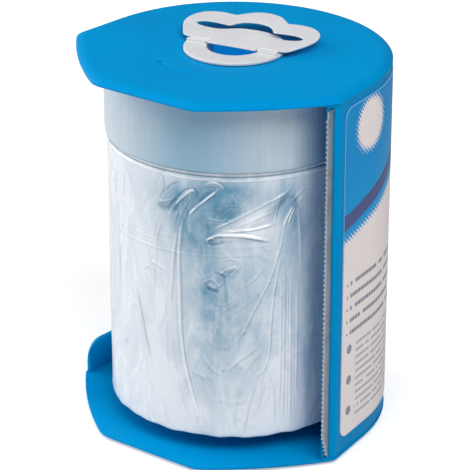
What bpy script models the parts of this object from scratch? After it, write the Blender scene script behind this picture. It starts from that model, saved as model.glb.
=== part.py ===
"""Masking film dispenser: a one-piece case round a roll of taped film, with a cutter and a hanger.

Units are metres, Z is up and the mouth faces -Y. The origin is on the roll's axis, on the ground.
"""
import math

import bmesh
import bpy
import numpy as np

# Roll of film with a band of tape along its top edge
ROLL_RADIUS = 0.0449
TAPE_WIDTH = 0.024
FILM_HEIGHT = 0.098
FILM_TOP_STEP = 0.0005
FILM_TAPER = 0.0009
FILM_EDGE_ROUND = 0.0012
FILM_EDGE_WAVE = 0.0003
FILM_FOLD_DEPTH = 0.0004
TAPE_END_STEP = 0.0005
TAPE_END_ANGLE = math.radians(118)

# Cardboard core
CORE_BORE_RADIUS = 0.0127
CORE_WALL = 0.0025

# Clearances
FIT_GAP = 0.0003
RUNNING_GAP = 0.0004
ROLL_TOP_GAP = 0.001
ROLL_REAR_GAP = 0.0058
ROLL_FRONT_MARGIN = 0.0062
OVERRUN = 0.004

# Case plates and wall
PLATE_THICKNESS = 0.0022
RIM_SLOPE_WIDTH = 0.0035
RIM_SLOPE_DROP = 0.0017
WALL_THICKNESS = 0.002
WALL_SETBACK = 0.0004
BACK_CENTRE_OFFSET = 0.0007
SIDE_FLARE = 0.0016
SIDE_CORNER_FORWARD = 0.0172
MOUTH_HALF_WIDTH = 0.0203
FLANK_BOW = 0.002
MOUTH_CORNER_EASE = 0.0032
SIDE_CORNER_EASE = 0.0014

# The plates' convex rim, from their flat to their edge: shares of the rim's width and drop
RIM_SHARES = ((0.0, 1.0), (0.09, 0.76), (0.3, 0.42), (0.62, 0.12), (1.0, 0.0))

# Opening in the left of the wall, with a strip left above and below it
STRIP_HEIGHT = 0.0116
STRIP_END_FORWARD = 0.0162
STRIP_END_RADIUS = 0.007
WINDOW_REAR_BEHIND = 0.0067
WINDOW_CORNER_RADIUS = 0.007

# Hubs that the core turns on
HUB_WALL = 0.0013
HUB_LENGTH = 0.008
HUB_TIP_EASE = 0.001
COLLAR_HEIGHT = 0.006
COLLAR_WIDTH = 0.0024

# Arc pressed into the top plate
ARC_RADIUS = 0.028
ARC_WIDTH = 0.0024
ARC_DEPTH = 0.0004
ARC_MIDDLE_ANGLE = math.radians(-95)
ARC_HALF_ANGLE = math.radians(24)

# Toothed steel cutter in the front edge of the wall
BLADE_THICKNESS = 0.0005
BLADE_INNER_SHARE = 0.64
BLADE_REACH = 0.0045
BLADE_TUCK = 0.0045
BLADE_END_MARGIN = 0.001
BLADE_FOOT_SLOPE = 0.009
BLADE_FOOT_CUT = 0.003
BLADE_TOP_SLOPE = 0.0025
BLADE_TOP_CUT = 0.0022
TOOTH_PITCH = 0.00175
TOOTH_DEPTH = 0.0014
EDGE_THICKNESS = 0.0034
EDGE_LENGTH = 0.0075
EDGE_BLEND = 0.005

# Paper label round the wall
LABEL_THICKNESS = 0.0002
LABEL_FRONT_MARGIN = 0.003
LABEL_REAR_MARGIN = 0.012
LABEL_TOP_MARGIN = 0.0028
LABEL_BOTTOM_MARGIN = 0.0058
LABEL_CORNER_RADIUS = 0.004

# Hanger: a ring clipped into the top hub, and a tab with a hook slot
RING_RADIUS = 0.0176
RING_HOLE_RADIUS = 0.0096
RING_THICKNESS = 0.001
RING_EDGE_EASE = 0.0003
HANGER_TURN = math.radians(8.7)
CLIP_WALL = 0.0007
CLIP_BEAD = 0.0004
CLIP_BEAD_HEIGHT = 0.0007
CLIP_HALF_ANGLE = math.radians(12)
CLIP_COUNT = 3
CLIP_FIRST_ANGLE = math.radians(60)
HINGE_FORWARD = 0.0007
HINGE_LUG_LENGTH = 0.0016
HINGE_LUG_GAP = 0.0008
TAB_REST_TILT = math.radians(6)
TAB_THICKNESS = 0.0011
TAB_BASE_GAP = 0.00035
TAB_BASE_HALF_WIDTH = 0.0184
TAB_TONGUE_HALF_WIDTH = 0.0084
TAB_TONGUE_LENGTH = 0.003
TAB_HALF_WIDTH = 0.0265
TAB_SHOULDER = 0.022
TAB_PEAK = 0.027
SLOT_HALF_WIDTH = 0.0198
SLOT_LOW = 0.0089
SLOT_WING = 0.0138
SLOT_PEAK = 0.0184

# Right half of the tab from its base to its peak, across and along, as shares of its named sizes
TAB_LOBE_SHARES = ((0.8, 0.06), (0.885, 0.22), (0.975, 0.43), (1.0, 0.6), (0.965, 0.78), (0.88, 0.9),
                   (0.76, 0.975), (0.62, 1.0), (0.49, 0.99), (0.405, 0.975))
TAB_CROWN_SHARES = ((0.365, 0.825), (0.305, 0.88), (0.215, 0.945), (0.115, 0.985), (0.0, 1.0))
# Right half of the slot: its lower side from the middle to the tip, then its upper side back again
SLOT_FLOOR_SHARES = ((0.0, 1.4), (0.13, 1.37), (0.27, 1.25), (0.4, 1.1), (0.52, 1.02), (0.66, 1.0),
                     (0.82, 1.04), (0.94, 1.14))
SLOT_WING_SHARES = ((1.0, 0.84), (0.965, 0.915), (0.89, 0.97), (0.78, 0.995), (0.66, 1.0), (0.54, 0.985),
                    (0.43, 0.965))
SLOT_CROWN_SHARES = ((0.385, 0.765), (0.325, 0.865), (0.235, 0.945), (0.125, 0.985), (0.0, 1.0))

# Counts that set how fine the curves are
ARC_STEPS = 22
FLANK_STEPS = 8
EASE_STEPS = 4
SIDE_STEPS = 10
ROUND_STEPS = 48
FILM_STEPS = 72
FILM_ROWS = 9
CORNER_STEPS = 6

# Places and sizes that follow from those above
CORE_RADIUS = CORE_BORE_RADIUS + CORE_WALL
HUB_RADIUS = CORE_BORE_RADIUS - RUNNING_GAP
HUB_BORE_RADIUS = HUB_RADIUS - HUB_WALL
COLLAR_RADIUS = HUB_RADIUS + COLLAR_WIDTH
ROLL_BOTTOM = PLATE_THICKNESS + COLLAR_HEIGHT + FIT_GAP
TAPE_BOTTOM = ROLL_BOTTOM + FILM_HEIGHT + FIT_GAP
ROLL_TOP = TAPE_BOTTOM + TAPE_WIDTH
CASE_HEIGHT = ROLL_TOP + ROLL_TOP_GAP + PLATE_THICKNESS
FRONT_DEPTH = ROLL_RADIUS + ROLL_FRONT_MARGIN
BACK_DEPTH = ROLL_RADIUS + ROLL_REAR_GAP + WALL_THICKNESS + WALL_SETBACK
BACK_RADIUS = BACK_DEPTH + BACK_CENTRE_OFFSET
HALF_WIDTH = BACK_RADIUS + SIDE_FLARE
RING_BASE = CASE_HEIGHT + FIT_GAP
RING_TOP = RING_BASE + RING_THICKNESS
CLIP_RADIUS = HUB_BORE_RADIUS - CLIP_BEAD - FIT_GAP
HUB_LIP_RADIUS = CLIP_RADIUS + FIT_GAP
HINGE_HEIGHT = RING_TOP + FIT_GAP + TAB_THICKNESS / 2


def finish(name, colour, roughness, metallic=0.0):
    """One plain material with the colour, roughness and metallic value of a real surface."""
    material = bpy.data.materials.new(name)
    material.use_nodes = True
    shader = material.node_tree.nodes["Principled BSDF"]
    shader.inputs["Base Color"].default_value = (*colour, 1.0)
    shader.inputs["Roughness"].default_value = roughness
    shader.inputs["Metallic"].default_value = metallic
    return material


def add_object(name, bm, material=None):
    """Make an object from a finished bmesh, faces out, shaded smooth with sharp creases kept."""
    bmesh.ops.recalc_face_normals(bm, faces=bm.faces)
    if bm.calc_volume(signed=True) < 0:
        bmesh.ops.reverse_faces(bm, faces=bm.faces)
    mesh = bpy.data.meshes.new(name)
    bm.to_mesh(mesh)
    bm.free()
    mesh.shade_smooth()
    mesh.set_sharp_from_angle(angle=math.radians(35))
    obj = bpy.data.objects.new(name, mesh)
    bpy.context.scene.collection.objects.link(obj)
    if material is None:
        obj.hide_render = True
        obj.display_type = "WIRE"
    else:
        mesh.materials.append(material)
    return obj


def stack_loops(name, loops, material=None):
    """A closed solid whose skin runs through equal loops of points, with a flat cap at each end."""
    bm = bmesh.new()
    rings = [[bm.verts.new(point) for point in loop] for loop in loops]
    count = len(rings[0])
    for low, high in zip(rings[:-1], rings[1:]):
        for i in range(count):
            j = (i + 1) % count
            bm.faces.new((low[i], low[j], high[j], high[i]))
    bm.faces.new(rings[0][::-1])
    bm.faces.new(rings[-1])
    return add_object(name, bm, material)


def ring_of_sections(name, sections, material=None):
    """A closed solid whose sections follow one another all the way round, last to first."""
    bm = bmesh.new()
    rings = [[bm.verts.new(point) for point in section] for section in sections]
    count = len(rings[0])
    for k, ring in enumerate(rings):
        following = rings[(k + 1) % len(rings)]
        for i in range(count):
            j = (i + 1) % count
            bm.faces.new((ring[i], ring[j], following[j], following[i]))
    return add_object(name, bm, material)


def turned(name, profile, material=None, steps=ROUND_STEPS):
    """A closed profile of radius and height turned all the way round the Z axis."""
    angles = np.linspace(0, 2 * math.pi, steps, endpoint=False)
    sections = [[(r * math.cos(a), r * math.sin(a), z) for r, z in profile] for a in angles]
    return ring_of_sections(name, sections, material)


def swept_arc(name, profile, start, end, steps):
    """A closed profile of radius and height turned through part of a circle, with flat ends."""
    angles = np.linspace(start, end, steps)
    loops = [[(r * math.cos(a), r * math.sin(a), z) for r, z in profile] for a in angles]
    return stack_loops(name, loops)


def prism(name, outline, low, high, material=None):
    """A plan outline raised straight up between two heights."""
    return stack_loops(name, [[(x, y, z) for x, y in outline] for z in (low, high)], material)


def combine(obj, other, operation):
    """Join a second solid to the first, or cut it out of the first."""
    modifier = obj.modifiers.new(other.name, "BOOLEAN")
    modifier.operation = operation
    modifier.solver = "EXACT"
    modifier.object = other


def circle(radius, height, steps=ROUND_STEPS):
    """A level circle of points round the Z axis."""
    angles = np.linspace(0, 2 * math.pi, steps, endpoint=False)
    return [(radius * math.cos(a), radius * math.sin(a), height) for a in angles]


def bowed_line(start, end, bow, count):
    """Points on the arc from start to end that bulges by bow to the right of the way."""
    chord = end - start
    length = np.linalg.norm(chord)
    along = chord / length
    outward = np.array((along[1], -along[0]))
    half_angle = 2 * math.atan2(2 * bow, length)
    radius = length / (2 * math.sin(half_angle))
    angles = np.linspace(-half_angle, half_angle, count)
    across = radius * np.sin(angles)
    bulge = radius * (np.cos(angles) - math.cos(half_angle))
    return (start + end) / 2 + across[:, None] * along + bulge[:, None] * outward


def eased_corner(before, corner, after):
    """A short curve that rounds a corner between two points on its sides."""
    t = np.linspace(0, 1, EASE_STEPS + 1)[:, None]
    return (1 - t) ** 2 * before + 2 * t * (1 - t) * corner + t ** 2 * after


def toward(start, end, distance):
    """The point at a distance from start on the way to end."""
    way = end - start
    return start + way * distance / np.linalg.norm(way)


def side_corner():
    """The right side corner of the plates, where the flank meets the wall."""
    return np.array((HALF_WIDTH, -SIDE_CORNER_FORWARD))


def flank():
    """The bowed edge from the mouth corner to the side corner."""
    return bowed_line(np.array((MOUTH_HALF_WIDTH, -FRONT_DEPTH)), side_corner(), FLANK_BOW, FLANK_STEPS)


def side_and_back():
    """The right half of the wall's line: a straight run that meets the round back, up to its middle."""
    corner = side_corner()
    centre = np.array((0.0, -BACK_CENTRE_OFFSET))
    away = corner - centre
    reach = np.linalg.norm(away)
    touch = math.atan2(away[1], away[0]) + math.acos(min(1.0, BACK_RADIUS / reach))
    angles = np.linspace(touch, math.pi / 2, ARC_STEPS)
    back = centre + BACK_RADIUS * np.column_stack((np.cos(angles), np.sin(angles)))
    steps = np.linspace(0, 1, SIDE_STEPS, endpoint=False)[:, None]
    return np.vstack((corner + steps * (back[0] - corner), back))


def mirrored(half):
    """A half outline that ends on the Y axis, carried round to the other side."""
    return np.vstack((half, (half * (-1, 1))[-2::-1]))


def plate_outline(depth=0.0):
    """The closed outline of both plates, seen from above, moved in by depth, with its corners eased."""
    front = np.array((0.0, -FRONT_DEPTH))
    half = np.vstack((front, flank(), side_and_back()[1:]))
    line = inset(mirrored(half)[:-1], depth, closed=True)[:len(half)]
    mouth, shoulder = 1, FLANK_STEPS
    corners = []
    for k, ease in ((mouth, MOUTH_CORNER_EASE), (shoulder, SIDE_CORNER_EASE)):
        corners.append(eased_corner(toward(line[k], line[k - 1], ease), line[k],
                                    toward(line[k], line[k + 1], ease)))
    front, rest = line[:mouth], line[shoulder + 1:]
    half = np.vstack((front, corners[0], line[mouth + 1:shoulder], corners[1], rest))
    return mirrored(half)[:-1]


def inset(points, distance, closed=False):
    """A counter-clockwise line of points moved inwards by one distance, or by one for each point."""
    way = np.diff(points, axis=0, append=points[:1])
    if not closed:
        way[-1] = way[-2]
    out = np.column_stack((way[:, 1], -way[:, 0])) / np.linalg.norm(way, axis=1)[:, None]
    before = np.roll(out, 1, axis=0)
    if not closed:
        before[0] = out[0]
    mitre = (out + before) / (1 + np.sum(out * before, axis=1))[:, None]
    return points - mitre * np.reshape(distance, (-1, 1))


def meeting_point(point, way, other_point, other_way):
    """Where two straight lines cross."""
    share, _ = np.linalg.solve(np.column_stack((way, -other_way)), other_point - point)
    return point + share * way


def wall_line(depth):
    """The wall's line from the right side corner round the back to the left one, moved in by depth."""
    points = mirrored(side_and_back())
    line = inset(points, depth)
    edge = flank()
    flank_way = edge[-1] - edge[-2]
    flank_out = np.array((flank_way[1], -flank_way[0])) / np.linalg.norm(flank_way)
    front = meeting_point(line[0], points[1] - points[0], edge[-1] - flank_out * WALL_SETBACK, flank_way)
    return np.vstack((front, line[1:]))


def wall_depths():
    """How far the wall's inner face lies from the plates' edge: thicker at the front, for the cutter."""
    points = mirrored(side_and_back())
    walked = np.concatenate(((0.0,), np.cumsum(np.linalg.norm(np.diff(points, axis=0), axis=1))))
    fade = np.clip((EDGE_LENGTH + EDGE_BLEND - walked) / EDGE_BLEND, 0, 1)
    thickness = WALL_THICKNESS + (EDGE_THICKNESS - WALL_THICKNESS) * fade
    return WALL_SETBACK + thickness


def plate_loops(inner, outer):
    """The loops of one plate, from its inner face over the convex rim to the flat of its outer face."""
    drop = math.copysign(RIM_SLOPE_DROP, inner - outer)
    loops = [[(x, y, inner) for x, y in plate_outline()]]
    for width_share, drop_share in RIM_SHARES:
        outline = plate_outline(RIM_SLOPE_WIDTH * width_share)
        loops.append([(x, y, outer + drop * drop_share) for x, y in outline])
    return loops


def window_profile(lean):
    """The opening at the left of the wall, seen from the side, with its front end moved by lean."""
    rear = WINDOW_REAR_BEHIND
    low = PLATE_THICKNESS + STRIP_HEIGHT
    end = lean - STRIP_END_FORWARD
    far = end - FRONT_DEPTH
    turn = np.linspace(0, math.pi / 2, CORNER_STEPS)
    lower = [(far, -OVERRUN), (end, -OVERRUN)]
    tip, corner = STRIP_END_RADIUS, WINDOW_CORNER_RADIUS
    lower += [(end + tip * (1 - math.cos(a)), low - tip * (1 - math.sin(a))) for a in turn]
    lower += [(rear - corner * (1 - math.sin(a)), low + corner * (1 - math.cos(a))) for a in turn]
    upper = [(y, CASE_HEIGHT - z) for y, z in reversed(lower)]
    return lower + upper


def blade_frame():
    """The cutter's place: a line on the wall's front face, the way forward and the way out."""
    outer = wall_line(WALL_SETBACK)
    inner = wall_line(wall_depths())
    way = side_and_back()
    forward = (way[0] - way[1]) / np.linalg.norm(way[0] - way[1])
    origin = outer[0] + (inner[0] - outer[0]) * BLADE_INNER_SHARE
    return origin, forward, np.array((-forward[1], forward[0]))


def upright_slab(name, profile, thickness, material=None):
    """A flat profile, given forward of the wall's front face and up, made into a standing slab."""
    origin, forward, out = blade_frame()
    loops = []
    for side in (-thickness / 2, thickness / 2):
        base = origin + out * side
        loops.append([(*(base + forward * reach), z) for reach, z in profile])
    return stack_loops(name, loops, material)


def build_wall():
    """The wall with its thick front edge and the opening at its left."""
    outer = wall_line(WALL_SETBACK)
    inner = wall_line(wall_depths())
    sunk = (PLATE_THICKNESS + RIM_SLOPE_DROP) / 2
    wall = prism("wall_blank", np.vstack((outer, inner[::-1])), sunk, CASE_HEIGHT - sunk)
    along = flank()[-1] - flank()[-2]
    loops = []
    for out in (-OVERRUN, ROLL_RADIUS - CORE_RADIUS):
        profile = window_profile(-out * along[1] / along[0])
        loops.append([(out - HALF_WIDTH, y, z) for y, z in profile])
    window = stack_loops("window_cut", loops)
    combine(wall, window, "DIFFERENCE")
    return wall


def build_hub_blanks():
    """Solid bosses for the hubs: a stepped one below, that carries the core, and a plain one above."""
    floor = PLATE_THICKNESS
    shelf = floor + COLLAR_HEIGHT
    tip = shelf + HUB_LENGTH
    narrow = HUB_RADIUS - HUB_TIP_EASE
    lower = stack_loops("lower_hub_blank", [
        circle(COLLAR_RADIUS, floor / 2), circle(COLLAR_RADIUS, shelf), circle(HUB_RADIUS, shelf),
        circle(HUB_RADIUS, tip - HUB_TIP_EASE), circle(narrow, tip)])
    ceiling = CASE_HEIGHT - PLATE_THICKNESS
    foot = ceiling - ROLL_TOP_GAP - HUB_LENGTH
    upper = stack_loops("upper_hub_blank", [
        circle(narrow, foot), circle(HUB_RADIUS, foot + HUB_TIP_EASE),
        circle(HUB_RADIUS, ceiling + floor / 2)])
    return lower, upper


def build_bore_cuts():
    """The bores of the hubs; the upper one keeps a lip that the hanger clips under."""
    lower = stack_loops("lower_bore_cut", [
        circle(HUB_BORE_RADIUS, -OVERRUN),
        circle(HUB_BORE_RADIUS, PLATE_THICKNESS + COLLAR_HEIGHT + HUB_LENGTH + OVERRUN)])
    lip = CASE_HEIGHT - PLATE_THICKNESS
    foot = lip - ROLL_TOP_GAP - HUB_LENGTH
    upper = stack_loops("upper_bore_cut", [
        circle(HUB_BORE_RADIUS, foot - OVERRUN), circle(HUB_BORE_RADIUS, lip),
        circle(HUB_LIP_RADIUS, lip), circle(HUB_LIP_RADIUS, CASE_HEIGHT + OVERRUN)])
    return lower, upper


def build_arc_cut():
    """A shallow groove with sloped sides, on an arc in front of the hanger."""
    half = ARC_WIDTH / 2
    top = CASE_HEIGHT
    profile = [(ARC_RADIUS - half, top), (ARC_RADIUS - half / 2, top - ARC_DEPTH),
               (ARC_RADIUS + half / 2, top - ARC_DEPTH), (ARC_RADIUS + half, top),
               (ARC_RADIUS + half, top + OVERRUN), (ARC_RADIUS - half, top + OVERRUN)]
    start, end = ARC_MIDDLE_ANGLE - ARC_HALF_ANGLE, ARC_MIDDLE_ANGLE + ARC_HALF_ANGLE
    return swept_arc("arc_cut", profile, start, end, ARC_STEPS)


def build_case(material):
    """The blue case: two plates with sloped rims, the wall that joins them, and a hub on each plate."""
    case = stack_loops("case_shell", plate_loops(PLATE_THICKNESS, 0.0), material)
    lid = stack_loops("top_plate_blank", plate_loops(CASE_HEIGHT - PLATE_THICKNESS, CASE_HEIGHT))
    slot_low = PLATE_THICKNESS + BLADE_END_MARGIN
    slot_high = CASE_HEIGHT - slot_low
    reach = EDGE_THICKNESS + OVERRUN
    slot = upright_slab("blade_slot_cut", [(-BLADE_TUCK - FIT_GAP, slot_low), (reach, slot_low),
                                           (reach, slot_high), (-BLADE_TUCK - FIT_GAP, slot_high)],
                        BLADE_THICKNESS + 2 * FIT_GAP)
    combine(case, build_wall(), "UNION")
    for part in (lid, *build_hub_blanks()):
        combine(case, part, "UNION")
    for cut in (*build_bore_cuts(), slot, build_arc_cut()):
        combine(case, cut, "DIFFERENCE")
    return case


def build_blade(material):
    """The toothed steel strip, slanted at its foot, tucked into the wall's front edge."""
    low = PLATE_THICKNESS + BLADE_END_MARGIN + FIT_GAP
    high = CASE_HEIGHT - low
    start = low + BLADE_FOOT_SLOPE
    count = max(1, int((high - BLADE_TOP_SLOPE - start) // TOOTH_PITCH))
    valley = BLADE_REACH - TOOTH_DEPTH
    teeth = []
    for k in range(count):
        teeth.append((valley, start + k * TOOTH_PITCH))
        teeth.append((BLADE_REACH, start + (k + 0.5) * TOOTH_PITCH))
    teeth.append((valley, start + count * TOOTH_PITCH))
    profile = [(-BLADE_TUCK, low), (BLADE_REACH - BLADE_FOOT_CUT, low), *teeth,
               (BLADE_REACH - BLADE_TOP_CUT, high), (-BLADE_TUCK, high)]
    return upright_slab("cutter_blade", profile, BLADE_THICKNESS, material)


def label_spans():
    """Walked lengths along the wall where the label's columns stand, close together at its corners."""
    points = mirrored(side_and_back())
    walked = np.concatenate(((0.0,), np.cumsum(np.linalg.norm(np.diff(points, axis=0), axis=1))))
    window = np.argmax((points[:, 0] < 0) & (points[:, 1] < WINDOW_REAR_BEHIND))
    start = LABEL_FRONT_MARGIN
    end = walked[window] - LABEL_REAR_MARGIN
    turn = LABEL_CORNER_RADIUS * (1 - np.cos(np.linspace(0, math.pi / 2, CORNER_STEPS)))
    middle = np.linspace(start + LABEL_CORNER_RADIUS, end - LABEL_CORNER_RADIUS, 2 * ARC_STEPS)[1:-1]
    return points, walked, np.concatenate((start + turn, middle, (end - turn)[::-1]))


def build_label(material):
    """A thin band of paper round the wall's outer face, with rounded corners."""
    points, walked, spans = label_spans()
    gap_from_end = np.minimum(spans - spans[0], spans[-1] - spans)
    inside = np.clip(LABEL_CORNER_RADIUS - gap_from_end, 0, None)
    lift = LABEL_CORNER_RADIUS - np.sqrt(LABEL_CORNER_RADIUS ** 2 - inside ** 2)
    low = PLATE_THICKNESS + LABEL_BOTTOM_MARGIN + lift
    high = CASE_HEIGHT - PLATE_THICKNESS - LABEL_TOP_MARGIN - lift
    inner_depth = WALL_SETBACK - FIT_GAP
    sections = []
    for depth in (inner_depth, inner_depth - LABEL_THICKNESS):
        line = inset(points, depth)
        sections.append(np.column_stack([np.interp(spans, walked, line[:, axis]) for axis in (0, 1)]))
    inner, outer = sections
    loops = [[(*a, z0), (*b, z0), (*b, z1), (*a, z1)] for a, b, z0, z1 in zip(inner, outer, low, high)]
    return stack_loops("wall_label", loops, material)


def build_core(material):
    """The cardboard tube in the middle of the roll."""
    profile = [(CORE_BORE_RADIUS, ROLL_BOTTOM), (CORE_RADIUS, ROLL_BOTTOM), (CORE_RADIUS, ROLL_TOP),
               (CORE_BORE_RADIUS, ROLL_TOP)]
    return turned("roll_core", profile, material)


def build_tape(material):
    """The wound tape: its outer turn runs down a little all the way round to the free end."""
    inner = CORE_RADIUS + FIT_GAP
    angles = TAPE_END_ANGLE + np.linspace(0, 2 * math.pi, FILM_STEPS)
    radii = ROLL_RADIUS - TAPE_END_STEP * np.linspace(0, 1, FILM_STEPS)
    sections = []
    for a, r in zip(angles, radii):
        ends = ((inner, TAPE_BOTTOM), (r, TAPE_BOTTOM), (r, ROLL_TOP), (inner, ROLL_TOP))
        sections.append([(s * math.cos(a), s * math.sin(a), z) for s, z in ends])
    bm = bmesh.new()
    rings = [[bm.verts.new(point) for point in section] for section in sections[:-1]]
    last = [rings[0][0], *[bm.verts.new(point) for point in sections[-1][1:3]], rings[0][3]]
    rings.append(last)
    for ring, following in zip(rings[:-1], rings[1:]):
        for i in range(4):
            j = (i + 1) % 4
            bm.faces.new((ring[i], ring[j], following[j], following[i]))
    bm.faces.new((rings[0][0], rings[0][1], last[1]))
    bm.faces.new((rings[0][3], last[2], rings[0][2]))
    bm.faces.new((rings[0][1], rings[0][2], last[2], last[1]))
    return add_object("tape_winding", bm, material)


def film_folds(angle, rise):
    """How far the loose outer film stands out, from a few long waves that lean as they climb."""
    waves = ((5, 0.4, 0.9), (9, 2.1, -1.3), (14, 4.4, 2.2), (23, 1.2, -3.1))
    total = sum(math.cos(n * angle + phase + lean * rise) for n, phase, lean in waves)
    return FILM_FOLD_DEPTH * total / len(waves)


def build_film(material):
    """The wound film below the tape: slightly tapered, folded, with a soft wavy lower edge."""
    inner = CORE_RADIUS + FIT_GAP
    top = TAPE_BOTTOM - FIT_GAP
    widest = ROLL_RADIUS - FILM_TOP_STEP - FILM_FOLD_DEPTH
    turn = np.linspace(0, math.pi / 2, CORNER_STEPS)
    edge_shares = [(math.sin(a) - 1, 1 - math.cos(a)) for a in turn]
    rise_shares = np.linspace(0, 1, FILM_ROWS)[1:]
    sections = []
    for angle in np.linspace(0, 2 * math.pi, FILM_STEPS, endpoint=False):
        wave = FILM_EDGE_WAVE * (1 + math.cos(7 * angle + 1) * math.cos(3 * angle))
        foot = ROLL_BOTTOM + wave
        section = [(inner, foot)]
        for back, up in edge_shares:
            low = widest - FILM_TAPER + film_folds(angle, 0.0)
            section.append((low + FILM_EDGE_ROUND * back, foot + FILM_EDGE_ROUND * up))
        for share in rise_shares:
            out = widest - FILM_TAPER * (1 - share) + film_folds(angle, share)
            section.append((out, foot + FILM_EDGE_ROUND + (top - foot - FILM_EDGE_ROUND) * share))
        section.append((inner, top))
        sections.append([(r * math.cos(angle), r * math.sin(angle), z) for r, z in section])
    return ring_of_sections("film_winding", sections, material)


def hanger_space():
    """An empty on the roll's axis that holds the hanger and turns it in the hub."""
    turn = bpy.data.objects.new("hanger_turn", None)
    turn.rotation_euler = (0, 0, HANGER_TURN)
    bpy.context.scene.collection.objects.link(turn)
    return turn


def build_clip(index):
    """One springy clip of the ring, with a bead that catches under the hub's lip."""
    lip_foot = CASE_HEIGHT - PLATE_THICKNESS
    bead_top = lip_foot - FIT_GAP
    foot = bead_top - CLIP_BEAD_HEIGHT
    root = RING_BASE + RING_THICKNESS / 2
    inner = CLIP_RADIUS - CLIP_WALL
    bead = CLIP_RADIUS + CLIP_BEAD
    profile = [(inner, foot), (CLIP_RADIUS, foot), (bead, bead_top - CLIP_BEAD_HEIGHT / 2),
               (bead, bead_top), (CLIP_RADIUS, bead_top), (CLIP_RADIUS, root), (inner, root)]
    middle = CLIP_FIRST_ANGLE + index * 2 * math.pi / CLIP_COUNT
    start, end = middle - CLIP_HALF_ANGLE, middle + CLIP_HALF_ANGLE
    return swept_arc(f"clip_blank_{index + 1}", profile, start, end, CORNER_STEPS)


def build_ring(material, parent):
    """The white ring of the hanger: a flat washer with clips below and two hinge lugs on top."""
    ease = RING_EDGE_EASE
    profile = [(RING_HOLE_RADIUS, RING_BASE), (RING_RADIUS, RING_BASE), (RING_RADIUS, RING_TOP - ease),
               (RING_RADIUS - ease, RING_TOP), (RING_HOLE_RADIUS + ease, RING_TOP),
               (RING_HOLE_RADIUS, RING_TOP - ease)]
    ring = turned("hanger_ring", profile, material)
    lug_rear = -HINGE_FORWARD - HINGE_LUG_GAP
    lug_front = lug_rear - HINGE_LUG_LENGTH
    inner = RING_HOLE_RADIUS + ease
    outer = math.sqrt(RING_RADIUS ** 2 - lug_front ** 2) - ease
    lug_top = HINGE_HEIGHT
    parts = []
    for name, side in (("left_lug_blank", -1), ("right_lug_blank", 1)):
        plan = [(side * inner, lug_front), (side * outer, lug_front), (side * outer, lug_rear),
                (side * inner, lug_rear)]
        parts.append(prism(name, plan, RING_TOP - RING_THICKNESS / 2, lug_top))
    parts += [build_clip(k) for k in range(CLIP_COUNT)]
    for part in parts:
        part.parent = parent
        combine(ring, part, "UNION")
    ring.parent = parent
    return ring


def smooth_through(points, steps=3):
    """A smooth line through points, four at a time, that keeps the first and the last."""
    padded = np.vstack((2 * points[0] - points[1], points, 2 * points[-1] - points[-2]))
    line = []
    for p, q, r, s in zip(padded[:-3], padded[1:-2], padded[2:-1], padded[3:]):
        for t in np.linspace(0, 1, steps, endpoint=False):
            line.append(0.5 * (2 * q + (r - p) * t + (2 * p - 5 * q + 4 * r - s) * t ** 2
                               + (3 * q - p - 3 * r + s) * t ** 3))
    line.append(points[-1])
    return np.array(line)


def tab_outline():
    """The tab's closed outline: a base with a tongue, a round lobe at each side and a crown between."""
    tongue = TAB_TONGUE_HALF_WIDTH
    front = [(tongue, -TAB_TONGUE_LENGTH), (tongue, TAB_BASE_GAP)]
    base = (TAB_BASE_HALF_WIDTH, TAB_BASE_GAP)
    lobe = [base] + [(TAB_HALF_WIDTH * x, TAB_SHOULDER * y) for x, y in TAB_LOBE_SHARES]
    crown = [(TAB_HALF_WIDTH * x, TAB_PEAK * y) for x, y in TAB_CROWN_SHARES]
    half = np.vstack((front, smooth_through(np.array(lobe)), smooth_through(np.array(crown))))
    return mirrored(half)


def slot_outline():
    """The closed outline of the hook slot: two wings and a crown over a raised middle."""
    floor = [(SLOT_HALF_WIDTH * x, SLOT_LOW * y) for x, y in SLOT_FLOOR_SHARES]
    wing = [(SLOT_HALF_WIDTH * x, SLOT_WING * y) for x, y in SLOT_WING_SHARES]
    crown = [(SLOT_HALF_WIDTH * x, SLOT_PEAK * y) for x, y in SLOT_CROWN_SHARES]
    half = np.vstack((smooth_through(np.array(floor + wing)), smooth_through(np.array(crown))))
    left = (half * (-1, 1))[-2:0:-1]
    return np.vstack((half, left))


def build_tab(material, parent):
    """The hanger's tab, hinged along a chord of the ring and lying back just above the plate."""
    hinge = bpy.data.objects.new("tab_hinge", None)
    bpy.context.scene.collection.objects.link(hinge)
    hinge.parent = parent
    hinge.location = (0, -HINGE_FORWARD, HINGE_HEIGHT)
    hinge.rotation_euler = (TAB_REST_TILT, 0, 0)
    half = TAB_THICKNESS / 2
    tab = prism("hang_tab", tab_outline(), -half, half, material)
    slot = prism("tab_slot_cut", slot_outline(), -half - OVERRUN, half + OVERRUN)
    for obj in (tab, slot):
        obj.parent = hinge
    combine(tab, slot, "DIFFERENCE")
    return tab


def main():
    """Clear the scene and build every piece."""
    for obj in list(bpy.data.objects):
        bpy.data.objects.remove(obj, do_unlink=True)
    blue = finish("case_blue", (0.0, 0.27, 0.62), 0.38)
    white = finish("hanger_white", (0.70, 0.71, 0.72), 0.45)
    steel = finish("blade_steel", (0.32, 0.36, 0.40), 0.35, 1.0)
    paper = finish("label_paper", (0.70, 0.66, 0.62), 0.5)
    card = finish("core_card", (0.45, 0.33, 0.22), 0.85)
    tape = finish("tape_paper", (0.40, 0.48, 0.56), 0.7)
    film = finish("film_clear", (0.66, 0.71, 0.78), 0.3)
    build_case(blue)
    build_blade(steel)
    build_label(paper)
    build_core(card)
    build_tape(tape)
    build_film(film)
    turn = hanger_space()
    build_ring(white, turn)
    build_tab(white, turn)


main()
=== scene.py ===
import logging
import math
from dataclasses import dataclass
from enum import Enum
from typing import Optional, Sequence

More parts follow.
